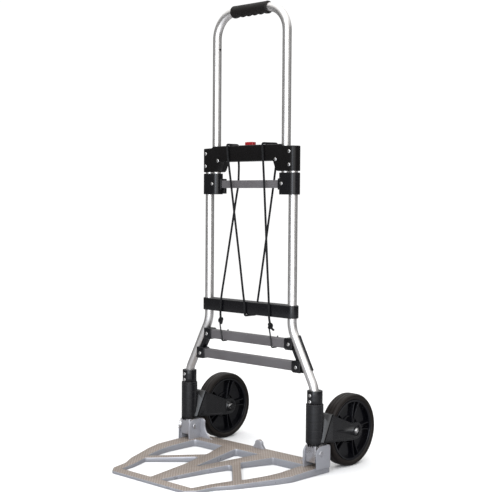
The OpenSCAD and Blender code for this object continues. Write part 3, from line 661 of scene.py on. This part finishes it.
def crosshead():
    right = head_stations()
    stations = [(-x, depth, low, high) for x, depth, low, high in reversed(right[1:])] + right
    cut = posts(TUBE_R + 0.15, 790, 900, HANDLE_X).join(posts(TUBE_R + 0.02, 790, FRAME_TOP + 0.2, FRAME_X))
    cut.slab(rounded(rect(-15.5, -8.5, 15.5, 8.5), 3, 4), 870, 900, soft=0.01, steps=1)
    cut.box((-33.5, -9.5, 845.5), (33.5, 9.5, 878), 0.3)
    cut.join(rod(3.9, -HANDLE_X, HANDLE_X, (0, 0, LOCK_Z), "x"))
    seam, most_lip, most_soft = 0.12, 0.7, 2.6
    for turn, name in ((-1, "front"), (1, "rear")):
        rings = []
        for x, depth, low, high in stations:
            soft, lip = min(most_soft, depth * 0.4), min(most_lip, depth * 0.3)
            ring = [(seam, low + lip), (seam + lip, low)]
            ring += arc((depth - soft, low + soft), soft, -90, 0, 4)
            ring += arc((depth - soft, high - soft), soft, 0, 90, 4)
            ring += [(seam + lip, high), (seam, high - lip)]
            rings.append([(x, turn * y, z) for y, z in ring])
        Shape().rings(rings).piece(f"crosshead_{name}_shell", PEBBLE, "frame", f"crosshead_{name}",
                                   "black_plastic", cut=cut, smooth=32)
    rivet_heads(HEAD_RIVETS, HEAD_R, RIVET_H).piece(
        "crosshead_rivet_heads", STEEL, "frame", "crosshead_rivets", "bright_steel")


def button():
    shape = Shape().slab(rounded(rect(-15, -8, 15, 8), 2.8, 5), 876.2, 897, soft=1.4, steps=5)
    for x in (-8, -4, 0, 4, 8):
        shape.slab(rounded(rect(x - 0.9, -5.2, x + 0.9, 5.2), 0.8, 3), 896.4, 897.5, soft=0.4, steps=2)
    shape.box((-22, -4.5, 853), (22, 4.5, 877.4), 0.5)
    shape.piece("red_release_button", RED, "button", "release_button", "red_button")


def button_spring():
    radius, low, height, turns, turn_steps = 3.4, 846.2, 21.6, 7, 18
    coil = [(radius * cos(a), radius * sin(a), low + height * a / (2 * pi * turns))
            for a in (2 * pi * k / turn_steps for k in range(turns * turn_steps + 1))]
    spring = Shape().sweep(coil, 0.5, 10).piece(
        "button_return_spring", SPRING, "frame", "button_spring", "spring_steel")
    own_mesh(spring)


def slider():
    """A block round each pair of tubes, at the foot of the handle, and the flat bar between them."""
    block = Shape().slab(stadium(HANDLE_X, FRAME_X, HEAD_R), SLIDER_LOW, SLIDER_HIGH, soft=1.6, steps=4)
    lugs = (((106.5, 3.8, 752), (126, 14.5, 795)), ((110, -7.2, 763.5), (124, 4.5, 794.5)))
    for low, high in lugs:
        block.box(low, high, 1.2)
    cut = rod(TUBE_R + 0.1, 700, 860, (FRAME_X, 0, 0)).join(rod(TUBE_R, HANDLE_FOOT, 860, (HANDLE_X, 0, 0)))
    for side in SIDES:
        block.on(side).piece(f"{side}_slider_block", PLASTIC, "handle", f"slider_bracket_{side}",
                             "black_plastic", cut=cut.on(side), smooth=32)
    Shape().slab(rounded(rect(-3.5, 768, 3.5, 790), 1.1, 4), -SLIDER_BAR_HALF, SLIDER_BAR_HALF, to_yz,
                 0.3).piece("slider_cross_bar", BAR, "handle", "slider_bar", "grey_bar")


def slider_screws():
    """Screw heads with a cross recess."""
    z, recess_depth, recess_half_l, recess_half_w = 780, 1.1, 2.6, 0.45
    screws, cut = Shape(), Shape()
    for x in (-HANDLE_X, HANDLE_X):
        dome(screws, x, -HEAD_R, z, 4.5, 2.2)
        for w, h in ((recess_half_l, recess_half_w), (recess_half_w, recess_half_l)):
            cut.box((x - w, -HEAD_R - 3, z - h), (x + w, -HEAD_R - recess_depth, z + h), 0.05)
    screws.piece("slider_screw_heads", STEEL, "handle", "slider_screws", "bright_steel", cut=cut)


# ---- crossbars and gussets

def crossbars():
    Shape().slab(stadium(-FRAME_X, FRAME_X, CROSSBAR_R), CROSSBAR_LOW, CROSSBAR_HIGH, soft=2.4,
                 steps=5).piece("black_lower_crossbar", PLASTIC, "frame", "lower_crossbar", "black_plastic",
                                cut=posts(TUBE_R + 0.02, 380, 480, FRAME_X), smooth=32)
    w, h, wall = BRACE_HALF_W, BRACE_HALF_H, 2
    for name, (z, half) in BRACES.items():
        section = rounded(rect(-w, z - h, w, z + h), 2.6, 5)
        hole = rounded(rect(-w + wall, z - h + wall, w - wall, z + h - wall), 1.6, 5)
        Shape().slab(section, -half, half, to_yz, 0.3, holes=[hole]).piece(
            f"{name}_brace_tube", BAR, "frame", f"brace_bar_{name}", "grey_bar")
    rivet_heads(BRACE_RIVETS, GUSSET_HALF_W, 2.2).piece(
        "brace_rivet_heads", STEEL, "frame", "brace_rivets", "bright_steel")


def slant_x(z):
    """Where the splayed stretch of the frame tube stands at a height."""
    return FRAME_X + (KINK_Z - z) * tan(SPLAY)


def gussets():
    """A pad on the end of each brace bar, a web between them and a half round on the splayed tube."""
    shape = Shape()
    pad_half_h, web_front = 16.5, -7
    for (z, _), x0, x1 in zip(BRACES.values(), (143, 171), (171, 202)):
        shape.slab(rounded(rect(x0, z - pad_half_h, x1, z + pad_half_h), [7, 2, 2, 7], 5),
                   -GUSSET_HALF_W, GUSSET_HALF_W, to_xz, 1.5)
    web = [(150, 350), (168, 326), (187, 292), (205, 268), (slant_x(270) + 1, 270),
           (slant_x(358) + 1, 358), (172, 358)]
    shape.slab(rounded(web, 2.5, 4), web_front, GUSSET_HALF_W, to_xz, 1.0)

    top_z, length, radius, taper = 362, 102.2, 16, 1.2
    top = Vector((slant_x(top_z), 0, top_z))
    down = Vector((sin(SPLAY), 0, -cos(SPLAY)))
    outward = Vector((cos(SPLAY), 0, sin(SPLAY)))
    half = [u * outward + v * Vector((0, 1, 0)) for u, v in arc((0, 0), radius, 0, 180, 16)]
    shape.rings([[top + d * down + r * p for p in half]
                 for d, r in ((0, 0.93), (taper, 1), (length - taper, 1), (length, 0.93))])
    cut = Shape().sweep([top - 60 * down, top + 160 * down], TUBE_R + 0.02, 48)
    w, h = BRACE_HALF_W + 0.02, BRACE_HALF_H + 0.02
    for z, bar_half in BRACES.values():
        cut.box((100, -w, z - h), (bar_half + 2, w, z + h), 0.5)
    for side in SIDES:
        shape.on(side).piece(f"{side}_brace_gusset", PLASTIC, "frame", f"gusset_{side}", "black_plastic",
                             cut=cut.on(side), smooth=32)


def collars():
    bore, edge, radius = TUBE_R + 0.02, 19.6, 21
    low, high = COLLAR_LOW, COLLAR_HIGH
    collar = Shape().lathe([(bore, low), (bore, high - 0.6), (13.4, high), (edge, high), (20.6, high - 0.4),
                            (radius, high - 1.4), (radius, 213), (radius, 202), (radius, low + 1.4),
                            (edge + 0.6, low)])
    for side in SIDES:
        collar.on(side, SLEEVE_X).piece(f"{side}_sleeve_band", PLASTIC, "frame", f"sleeve_collar_{side}",
                                        "black_plastic")
    rivets = Shape()
    for x in (-SLEEVE_X, SLEEVE_X):
        for z in (197, 214):
            dome(rivets, x, -20.7, z, 4.8, 2.4)
    rivets.piece("collar_rivet_heads", STEEL, "frame", "collar_rivets", "bright_steel")


# ---- forks, wheels and knuckles

def fork_sleeve():
    """The ringed sleeve that turns on the frame tube."""
    bore, groove, r = TUBE_R + 0.08, 0.5, SLEEVE_R
    profile = [(bore, 80.2), (17.8, 80.2), (18.5, 80.9), (18.5, BLOCK_LOW), (r - 0.7, BLOCK_LOW), (r, 88.8)]
    for z in (99, 121, 142, 163, 184):
        profile += [(r, z - 1.1), (r - 0.45, z - 0.6), (r - groove, z), (r - 0.45, z + 0.6), (r, z + 1.1)]
    profile += [(r, 188.8), (22.8, 189.9), (TUBE_R + 0.9, 189.9), (bore, 189.2)]
    return Shape().lathe(profile, sides=72)


def fork_block_outline(z):
    """The block behind the sleeve, seen from above; its front face leans back as it rises."""
    y = 3 + 34.6 * (z - BLOCK_LOW) / (BLOCK_HIGH - BLOCK_LOW)
    right = [(4, y - 17), (30, y), (30, 42), (24, 43)]
    return rounded([(-4, y - 17)] + right + [(-24, 43), (-30, 42), (-30, y)],
                   [0.5, 0.5, 1.0, 0.5, 0.5, 0.5, 0.5, 1.0], 3)


def forks():
    body = fork_sleeve()
    low, high = BLOCK_LOW, BLOCK_HIGH
    body.rings([[(x, y, z) for x, y in offset(fork_block_outline(z), d)] for z, d in (
        (low, 0.8), (low + 0.8, 0), (112, 0), (136, 0), (high - 0.8, 0), (high, 0.8))])
    eye, inner, outer = 24, FORK_INNER, FORK_OUTER
    arm = [(3.4, 87.2), (TRAIL - 20, WHEEL_R - eye)] + arc((TRAIL, WHEEL_R), eye, -80, 80, 14)
    arm += [(TRAIL - 20, WHEEL_R + eye), (47, 155), (38, 159.6)]
    levels = [(inner, 0.5), (inner + 0.5, 0), (outer - 0.7, 0), (outer - 0.2, 0.2), (outer, 0.7)]
    levels += [(outer, 3.2), (outer - 0.2, 4.2), (outer - 0.6, 5), (outer - 1.2, 5.4)]
    boss = [(AXLE_BORE_R, inner), (13, inner), (13, 28.4), (12.4, 29.4), (11.8, 29.7), (AXLE_BORE_R, 29.7)]
    for s in (-1, 1):
        body.rings([[(s * x, y, z) for y, z in offset(arm, d)] for x, d in levels])
        body.lathe([(r, s * x) for r, x in boss], (0, TRAIL, WHEEL_R), "x", 48)
    cut = rod(AXLE_BORE_R, -40, 40, (0, TRAIL, WHEEL_R), "x").join(rod(TUBE_R + 0.4, 86, 170, sides=72))
    for side in SIDES:
        body.on(side, SLEEVE_X).piece(f"{side}_trailing_fork", PLASTIC, f"fork_{side}", f"wheel_fork_{side}",
                                      "black_plastic", cut=cut.on(side, SLEEVE_X), smooth=32)


def axles():
    """The bolt with its domed head outside, the nut with its domed cap inside, and the spacers."""
    centre = (0, TRAIL, WHEEL_R)
    bolt = Shape().lathe([(0, -36), (5.2, -36), (6, -35.4), (6, 30), (0, 30)], centre, "x", 32)
    flange = [(7.4, 29.9), (7.6, 30.3), (7.4, 30.8), (6.6, 30.9)]
    head = [(6.2 * cos(t), 31.0 + 3.9 * sin(t)) for t in (0.25, 0.5, 0.75, 1.0, 1.25, 1.42)]
    bolt.lathe([(0, 29.9)] + flange + [(6.2, 31.0)] + head + [(0, 34.95)], centre, "x", 40)
    nut = Shape().lathe([(AXLE_BORE_R, -29.9)] + [(r, -h) for r, h in flange] + [(AXLE_BORE_R, -31)],
                        centre, "x", 40)
    nut.slab(circle((TRAIL, WHEEL_R), 7.6, 6), -34.6, -30.9, to_yz, 0.7)
    cap = [(5.6 * cos(t), -34.6 - 2.4 * sin(t)) for t in (0.3, 0.6, 0.9, 1.2, 1.4)]
    nut.lathe([(0, -34), (5.6, -34), (5.6, -34.6)] + cap + [(0, -37.1)], centre, "x", 40)
    spacers = Shape()
    for x0, x1 in ((-FORK_INNER, -19.1), (19.1, FORK_INNER)):
        spacers.lathe([(AXLE_BORE_R, x0), (9.6, x0), (10, x0 + 0.4), (10, x1 - 0.4), (9.6, x1),
                       (AXLE_BORE_R, x1)], centre, "x", 40)
    for side in SIDES:
        for what, shape in (("bolt", bolt), ("nut", nut), ("spacers", spacers)):
            shape.on(side, SLEEVE_X).piece(f"{side}_axle_{what}_turned", STEEL, f"fork_{side}",
                                           f"axle_{what}_{side}", "bright_steel")


def wheel_rim():
    """The hub, a thin web, five pairs of spokes, a ring on the web and the rim under the tyre."""
    centre = (0, TRAIL, WHEEL_R)
    half = [(80, -2.2), (79.8, -4), (77, -12.5), (77.3, -15), (78.2, -16.3), (81, -17.2), (83.6, -17.2),
            (84, -16.4)]
    hub = [(78.5, 1.5), (45, 1.5), (17.6, 1.5), (17, 2.2), (17, 17.6), (16, 18.8), (7.2, 18.8), (6.1, 17.8)]
    rim = Shape().lathe(half[3:] + [(r, -x) for r, x in reversed(half)] + hub
                        + [(r, -x) for r, x in reversed(hub)] + half[:3], centre, "x", 120)
    spokes, lean, stations = 5, 7, ((15, 16, 2.4), (24, 12.5, 2.0), (48, 11, 1.7), (66, 11, 1.7),
                                    (76, 12.5, 2.2), (80.5, 13.8, 3.2))
    for a in (radians(k * 360 / spokes + s * lean) for k in range(spokes) for s in (-1, 1)):
        out, across = Vector((cos(a), sin(a))), Vector((-sin(a), cos(a)))
        rim.rings([[(u, TRAIL + out.x * d + across.x * v, WHEEL_R + out.y * d + across.y * v)
                    for u, v in rounded(rect(-half_w, -thick, half_w, thick), 1.2, 3)]
                   for d, half_w, thick in stations])
    web_ring = [(36, 1.2), (38.4, 1.2), (38.4, 5), (37.8, 5.6), (36.6, 5.6), (36, 5)]
    for s in (-1, 1):
        rim.lathe([(r, s * x) for r, x in web_ring], centre, "x", 96)
    return rim


def tyre():
    """A solid tyre with rounded shoulders and grooves round its tread."""
    half = [(84, -15.6), (85.6, -17.4), (87, -18.6), (88.2, -19.5), (90, -20), (92.5, -20), (95, -19.4),
            (96.8, -18.3), (98.3, -16.6), (99.3, -14.6), (99.7, -12.6), (99.9, -10.8), (98.9, -10.4),
            (98.9, -9.4), (99.95, -9.0), (WHEEL_R, -1.0), (WHEEL_R - 1, -0.6)]
    return Shape().lathe(half + [(r, -x) for r, x in reversed(half)], (0, TRAIL, WHEEL_R), "x", 144)


def wheels():
    rim, rubber = wheel_rim(), tyre()
    for side in SIDES:
        rim.on(side, SLEEVE_X).piece(f"{side}_spoked_rim", GLOSS, f"wheel_{side}", f"wheel_rim_{side}",
                                     "wheel_plastic", smooth=35)
        rubber.on(side, SLEEVE_X).piece(f"{side}_solid_tyre", RUBBER, f"wheel_{side}", f"tyre_{side}",
                                        "tyre_rubber", smooth=35)


def knuckles():
    """The block in the foot of each frame tube and the pin that the toe plate folds on."""
    centre, nose, top = (0, 0, PIN_Z), 17, 79.4
    outline = [(-nose, top), (-nose, 34.6), (-15.9, 33.5), (0, 33.5), (5, 37.8)]
    outline += arc((0, PIN_Z), nose, -58, 30, 8) + [(15, 70), (15, top)]
    body = Shape().slab(rounded(outline, 0.6, 1), -17.6, 17.6, to_yz, 1.6, steps=4)
    plug = BORE_R - 0.05
    body.lathe([(0, 60), (plug, 60), (plug, 147), (9.5, 148), (0, 148)])
    cut = rod(4.06, -30, 30, centre, "x")
    pin = rod(4, -24.4, 24.4, centre, "x", 32)
    head = [(0, 24.2), (7.4, 24.2), (7.6, 24.6), (7.4, 25.0), (5.6, 25.9), (3, 26.3), (0, 26.4)]
    for s in (-1, 1):
        pin.lathe([(r, s * x) for r, x in head], centre, "x", 36)
    for side in SIDES:
        body.on(side, SLEEVE_X).piece(f"{side}_hinge_knuckle", KNUCKLE, "frame", f"knuckle_{side}",
                                      "knuckle_metal", cut=cut.on(side, SLEEVE_X), smooth=32)
        pin.on(side, SLEEVE_X).piece(f"{side}_hinge_pin_turned", KNUCKLE, "plate", f"hinge_pin_{side}",
                                     "bright_steel")


# ---- toe plate

def plate_loops(d):
    """The plate's outline moved in by d, and its windows moved out by d."""
    outline = turned_left(HALF_OUTLINE + [(-x, y) for x, y in reversed(HALF_OUTLINE)])
    loops = [rounded(offset(outline, d), PLATE_CORNER_R - d, 6)]
    for window, radii in WINDOWS + [([(-x, y) for x, y in w], radii) for w, radii in WINDOWS[1:]]:
        turned = turned_left(window)
        radii = radii if turned == window else radii[::-1]
        loops.append(rounded(offset(turned, -d), [r + d for r in radii], 6)[::-1])
    return loops


def top_z(y):
    """Height of the sloping top, which is thin at the front."""
    return FRONT_THICK + (y - PLATE_FRONT) / (PLATE_REAR - PLATE_FRONT) * THICKER


def flat_face(inset, drop):
    """A flat face inside the rims, as points and triangles, at a depth below the top."""
    flat = [[Vector((x, y, 0)) for x, y in loop] for loop in plate_loops(inset)]
    points = [(p.x, p.y, top_z(p.y) - drop) for loop in flat for p in loop]
    return points, [list(t) for t in tessellate_polygon(flat)]


def plate_body():
    """The casting: rounded rims, a hollow underside and a flat top."""
    wall = PLATE_WALL
    levels = [(wall, lambda y: top_z(y) - wall), (wall, lambda y: 0.8), (wall - 0.8, lambda y: 0),
              (0.9, lambda y: 0), (0.25, lambda y: 0.25), (0, lambda y: 0.9), (0, lambda y: top_z(y) - 1.7),
              (0.2, lambda y: top_z(y) - 0.95), (0.7, lambda y: top_z(y) - 0.35), (1.5, top_z)]
    at = [plate_loops(d) for d, _ in levels]
    shape = Shape()
    for loops in zip(*at):
        shape.rings([[(x, y, z(y)) for x, y in loop] for loop, (_, z) in zip(loops, levels)], ends="none")
    shape.add(*flat_face(wall, wall))
    return shape.add(*flat_face(levels[-1][0], 0))


def ear(nose):
    """Outline of a hinge ear, seen from the side, round the pin at its nose."""
    corner, top, back, foot = 8, PIN_Z + nose, 38, 16
    out = [(-nose, foot), (back, foot), (back, top - corner)]
    out += arc((back - corner, top - corner), corner, 15, 90, 5)
    return out + arc((0, PIN_Z), nose, 90, 180, 10)


def hinge_fittings():
    """On each side: three ears round the pin, the wall behind them and a curved web."""
    fittings, foot = Shape(), 15.5
    hole = circle((0, PIN_Z), 4.3, 24)
    for x0, x1, nose, soft in ((-23, -18, 21, 0.9), (18, 23, 15, 0.9), (23.5, 24.7, 21, 0.5)):
        fittings.slab(ear(nose), SLEEVE_X + x0, SLEEVE_X + x1, to_yz, soft, holes=[hole])
    wall = rounded(rect(221.6, foot, 269.6, 78.4), [1, 1, 5, 5], 4)
    fittings.slab(wall, 29.8, 35.2, to_xz, 1.0)
    web = [(226, foot), (226, 77.5), (212, 77.8)] + arc((166, 62), 41, 14, -77, 13) + [(171, foot)]
    fittings.slab(turned_left(rounded(web, 0.5, 1)), 24.8, 30.2, to_xz, 0.9)
    return fittings.mirrored()


def toe_plate():
    shape = plate_body()
    shape.join(hinge_fittings())
    lug_half, lug_foot, lug_thick, rib_half = 22, 15.5, 11, 2
    lug = [(-lug_half, lug_foot), (lug_half, lug_foot), (lug_half, 21)]
    lug += arc((0, 33), 13, 0, 180, 15) + [(-lug_half, 21)]
    shape.slab(lug, PLATE_REAR - lug_thick, PLATE_REAR, to_xz, 1.6, steps=4)
    for x in range(-180, 181, 60):
        shape.box((x - rib_half, -3, 2.5), (x + rib_half, 48, 18.5), 0.6)
    piece = shape.piece("cast_toe_plate", CAST, "plate", "toe_plate", "cast_plate", smooth=38)
    tidy_normals(piece.data, 38, weld=1e-6)


# ---- cord, knots and hooks

# The cord's route from its left end to its right end, as in the CAD part
CORD_ROUTE = [
    (-96, -18, 394), (-94.5, -20.8, 406), (-93, -20.8, 430), (-92, -20.8, 450), (-84, -12, 534),
    (-72, 1.3, 658), (-63.4, 11, 748), (-61.9, 12.6, 762), (-60.2, 14.4, 779), (-61.1, 16, 796),
    (-65, 21, 828), (-66.5, 22, 840), (-67.5, 22, 848), (-69, 21.8, 858), (-69.5, 21.7, 872),
    (-69.5, 21.7, 884), (-69.5, 21.5, 888.9), (-69.5, 20.6, 890.5), (-69.5, 18.8, 891.3),
    (-69.5, 14, 891.4), (-70, 0, 891.4), (-70.5, -14, 891.4), (-70.5, -18.8, 891.3),
    (-70.5, -20.6, 890.5), (-70.5, -21.5, 888.9), (-70.3, -21.7, 884), (-68.5, -21.7, 868),
    (-65, -21.7, 843), (-56, -21.6, 790), (-37, -21.4, 675), (-18, -21.2, 560), (-4, -20.9, 470),
    (0, -20.8, 446), (2, -20.8, 425), (2.5, -20.8, 415), (2.8, -20.4, 411.3), (3.1, -19.2, 409.9),
    (3.5, -17, 409.5), (4.5, 0, 409.5), (6, 17, 409.5), (6.4, 19.2, 409.9), (6.8, 20.4, 411.3),
    (7.4, 20.8, 415), (9, 20.8, 430), (13, 20.8, 450), (30, 21, 546), (50, 21.3, 663),
    (69.5, 21.7, 779), (74.5, 21.9, 812), (78, 22, 836), (79.3, 22, 848), (80, 21.8, 858),
    (80.5, 21.7, 872), (80.5, 21.7, 884), (80.5, 21.5, 888.9), (80.3, 20.6, 890.5),
    (79.8, 18.8, 891.3), (78.4, 14, 891.4), (73.5, 0, 891.4), (68.4, -14, 891.4), (67, -18.8, 891.3),
    (66.4, -20.6, 890.5), (66.2, -21.5, 888.9), (66.2, -21.7, 884), (67.3, -21.7, 868),
    (69.3, -21.7, 843), (73, -21.6, 790), (80, -21.4, 680), (87, -21.2, 560), (93, -20.9, 470),
    (94, -20.8, 449), (95, -20.8, 430), (96, -20.8, 406), (97, -18, 394)]


def smooth_route(points, step=6.0):
    """A centripetal Catmull-Rom curve through the points, with a point about every step."""
    pts = [Vector(p) for p in points]
    pts = [2 * pts[0] - pts[1]] + pts + [2 * pts[-1] - pts[-2]]
    out = [pts[1]]
    for four in zip(pts, pts[1:], pts[2:], pts[3:]):
        at = [0.0]
        for a, b in zip(four, four[1:]):
            at.append(at[-1] + sqrt((b - a).length))
        count = max(2, round((four[2] - four[1]).length / step))
        for t in (at[1] + (at[2] - at[1]) * k / count for k in range(1, count + 1)):
            layer = four
            for starts, ends in ((at, at[1:]), (at, at[2:]), (at[1:2], at[2:3])):
                layer = [((t1 - t) * a + (t - t0) * b) / (t1 - t0)
                         for a, b, t0, t1 in zip(layer, layer[1:], starts, ends)]
            out.append(layer[0])
    return out


def cord_pieces():
    """The cord in stretches: the rear left one is carried down by the slider bar, the others stay put."""
    last_point = len(CORD_ROUTE) - 1
    stretches = [("left_end", 0, 3, "frame", None), ("left_lower_run", 3, 7, "frame", "handle"),
                 ("left_carried_bend", 7, 9, "handle", None), ("left_upper_run", 9, 11, "handle", "frame"),
                 ("laced_run", 11, last_point, "frame", None)]
    for name, first, last, body, other in stretches:
        route = smooth_route(CORD_ROUTE[max(0, first - 2):last + 3])
        ends = (Vector(CORD_ROUTE[first]), Vector(CORD_ROUTE[last]))
        i, j = (min(range(len(route)), key=lambda k: (route[k] - end).length) for end in ends)
        route = route[i:j + 1]
        shape = Shape().sweep(route, CORD_R, 16, unit=CORD_R)
        if other is None:
            shape.piece("cord_" + name, CORD, body, "bungee_cord", "cord_black")
            continue
        piece = shape.object("cord_" + name)
        piece.data.materials.append(CORD)
        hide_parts("bungee_cord")
        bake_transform(piece)


def knots():
    """An overhand knot and a short tail at each end of the cord."""
    out, r, z = Shape(), KNOT_CORD_R, 388
    for x, tail, turn in ((-96, 2, 0.0), (97, 12, 0.7)):
        y = CORD_ROUTE[0][1]
        loop = []
        for t in (2 * pi * k / 110 for k in range(111)):
            reach = 3.3 + 1.7 * cos(3 * t) + 0.3 * cos(2 * t)
            loop.append((x + reach * cos(2 * t + turn), y + reach * sin(2 * t + turn),
                         z + 5.6 * sin(3 * t)))
        out.sweep(loop, r, 14, unit=CORD_R)
        out.sweep([(x + 1, y - 1, z - 2), (x + 0.45 * tail, y - 0.5, z - 6), (x + tail, y + 1, z - 10.5),
                   (x + 1.07 * tail, y + 1.1, z - 11.4)], r, 14, unit=CORD_R)
        out.sweep([(x, y, z + 1), (x, y, z + 7)], CORD_R, 14, unit=CORD_R)
    out.piece("cord_knots", CORD, "frame", "bungee_knots", "cord_black", smooth=60)


def hooks():
    """Wire hooks: from the knot down the front of the upper brace bar, under it and up behind."""
    front, middle, bend_r = -12.2, 333.2, 6.0
    for side, knot_x, x in (("left", -96, -97), ("right", 97, 97)):
        wire = smooth_route([(knot_x - 2.5, -17.6, 386), (knot_x - 4.6, -16.2, 379), (x - 4.2, -13.6, 366),
                             (x - 2.6, front - 0.1, 352), (x - 1, front, 342), (x, front, middle + 3)], 3.0)
        under = arc((front + bend_r, middle), bend_r, 180, 270, 8)
        under += arc((-front - bend_r, middle), bend_r, 270, 360, 8)
        wire += [(x, y, z) for y, z in under]
        wire += [(x, -front, middle + 8), (x, -front, middle + 20), (x, -front + 1.5, middle + 25)]
        Shape().sweep(wire, HOOK_WIRE_R, 16).piece(f"{side}_hook_wire", HOOK, "frame", f"bungee_hook_{side}",
                                                   "bright_steel")


for make in (frame_tubes, handle, grip, crosshead, button, button_spring, slider, slider_screws,
             crossbars, gussets, collars, forks, axles, wheels, knuckles, toe_plate, cord_pieces,
             knots, hooks):
    make()

# Finishes of the CAD nodes that stay as they are
FINISHES = {"fold_gear": STEEL, "swivel_gear": PLASTIC, "lock_pin": STEEL}
for node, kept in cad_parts.items():
    for stem, finish in FINISHES.items():
        if node.startswith(stem):
            kept.data.materials.clear()
            kept.data.materials.append(finish)


# ---- floor, backdrop and light

def floor():
    """White to the camera; to the pieces it is painted grey as shade, and painted bright only in front,
    towards the tall light, as a pool of light.
    """
    m = Nodes(bpy.data.materials.new("pale_floor"))
    speck = m.noise(m.coords(), 180, 3)
    ahead = m.split(m.coords(spin=(0, 0, radians(-LOBE_TURN))))[1]
    # Painted light and shade: the floor's colour as the pieces see it is bright in front, towards the tall
    # light, and grey elsewhere.
    painted_bounce_light = m.mix(m.span(ahead, -1.1, -0.35, 1, 0), (0.34, 0.34, 0.35), (0.90, 0.92, 0.96))
    pale = m.mix(m.span(speck, 0.3, 0.7), (0.86, 0.86, 0.86), (0.90, 0.90, 0.90))
    m.feed(m.shader, {"Base Color": m.mix(m.camera_ray(), painted_bounce_light, pale), "Roughness": 0.7,
                      "Specular IOR Level": 0.1})
    rim = [(x, y, FLOOR_Z) for x, y in circle((0, 0), FLOOR_R, 64)]
    mesh = bpy.data.meshes.new("floor")
    mesh.from_pydata(rim, [], [tuple(range(len(rim)))])
    mesh.materials.append(m.block)
    add_object("floor", mesh)


def backdrop():
    """White to the camera; to the pieces a bright ceiling, a tall light at the front and dim sides."""
    world = bpy.data.worlds.new("studio")
    bpy.context.scene.world = world
    m = Nodes(world, "Background")
    x, y, z = m.split(m.node("TexCoord").outputs["Generated"])
    level = m.maths("SQRT", m.maths("ADD", m.maths("MULTIPLY", x, x), m.maths("MULTIPLY", y, y)))
    level = m.maths("MAXIMUM", level, 0.05)

    def towards(across_x, across_y):
        """1 where the level part of the direction points along this way, -1 against it."""
        along = m.maths("ADD", m.maths("MULTIPLY", x, across_x), m.maths("MULTIPLY", y, across_y))
        return m.maths("DIVIDE", along, level)

    def glow(value, low, high, dim, bright):
        return m.span(value, low, high, dim, bright, "SMOOTHSTEP")

    turn = radians(LOBE_TURN)
    facing, across = towards(sin(turn), -cos(turn)), towards(cos(turn), sin(turn))
    tall_light = m.maths("MULTIPLY", glow(facing, 0.72, 0.96, 0, 2.6), glow(z, 0.55, 0.8, 1, 0))
    parts = [glow(across, 0.75, 0.98, 0, 0.10), glow(across, -0.98, -0.6, 0.06, 0),
             glow(facing, -0.97, -0.7, 0.12, 0), glow(z, 0.15, 0.75, 0.12, 1.45)]
    light = tall_light
    for part in parts:
        light = m.maths("ADD", light, part)
    seen_white = 1.05
    strength = m.node("Mix", {0: m.camera_ray(), 2: light, 3: seen_white})
    m.feed(m.shader, {"Color": (1, 1, 1, 1), "Strength": strength.outputs[0]})


def softbox(name, at, target, width, height, power, colour=(1, 1, 1)):
    light = bpy.data.lights.new(name, "AREA")
    light.shape, light.size, light.size_y = "RECTANGLE", width, height
    light.energy, light.color = power, colour
    lamp = add_object(name, light)
    lamp.location = at
    lamp.rotation_euler = (Vector(target) - Vector(at)).to_track_quat("-Z", "Y").to_euler()


floor()
backdrop()
softbox("key", (1.35, -2.75, 1.1), (0, 0, 0.6), 0.42, 2.2, 24, (0.72, 0.84, 1.0))
softbox("top", (0.3, -0.4, 3.2), (0, 0, 0.3), 1.8, 1.8, 10)
bpy.context.scene.view_settings.view_transform = "Standard"
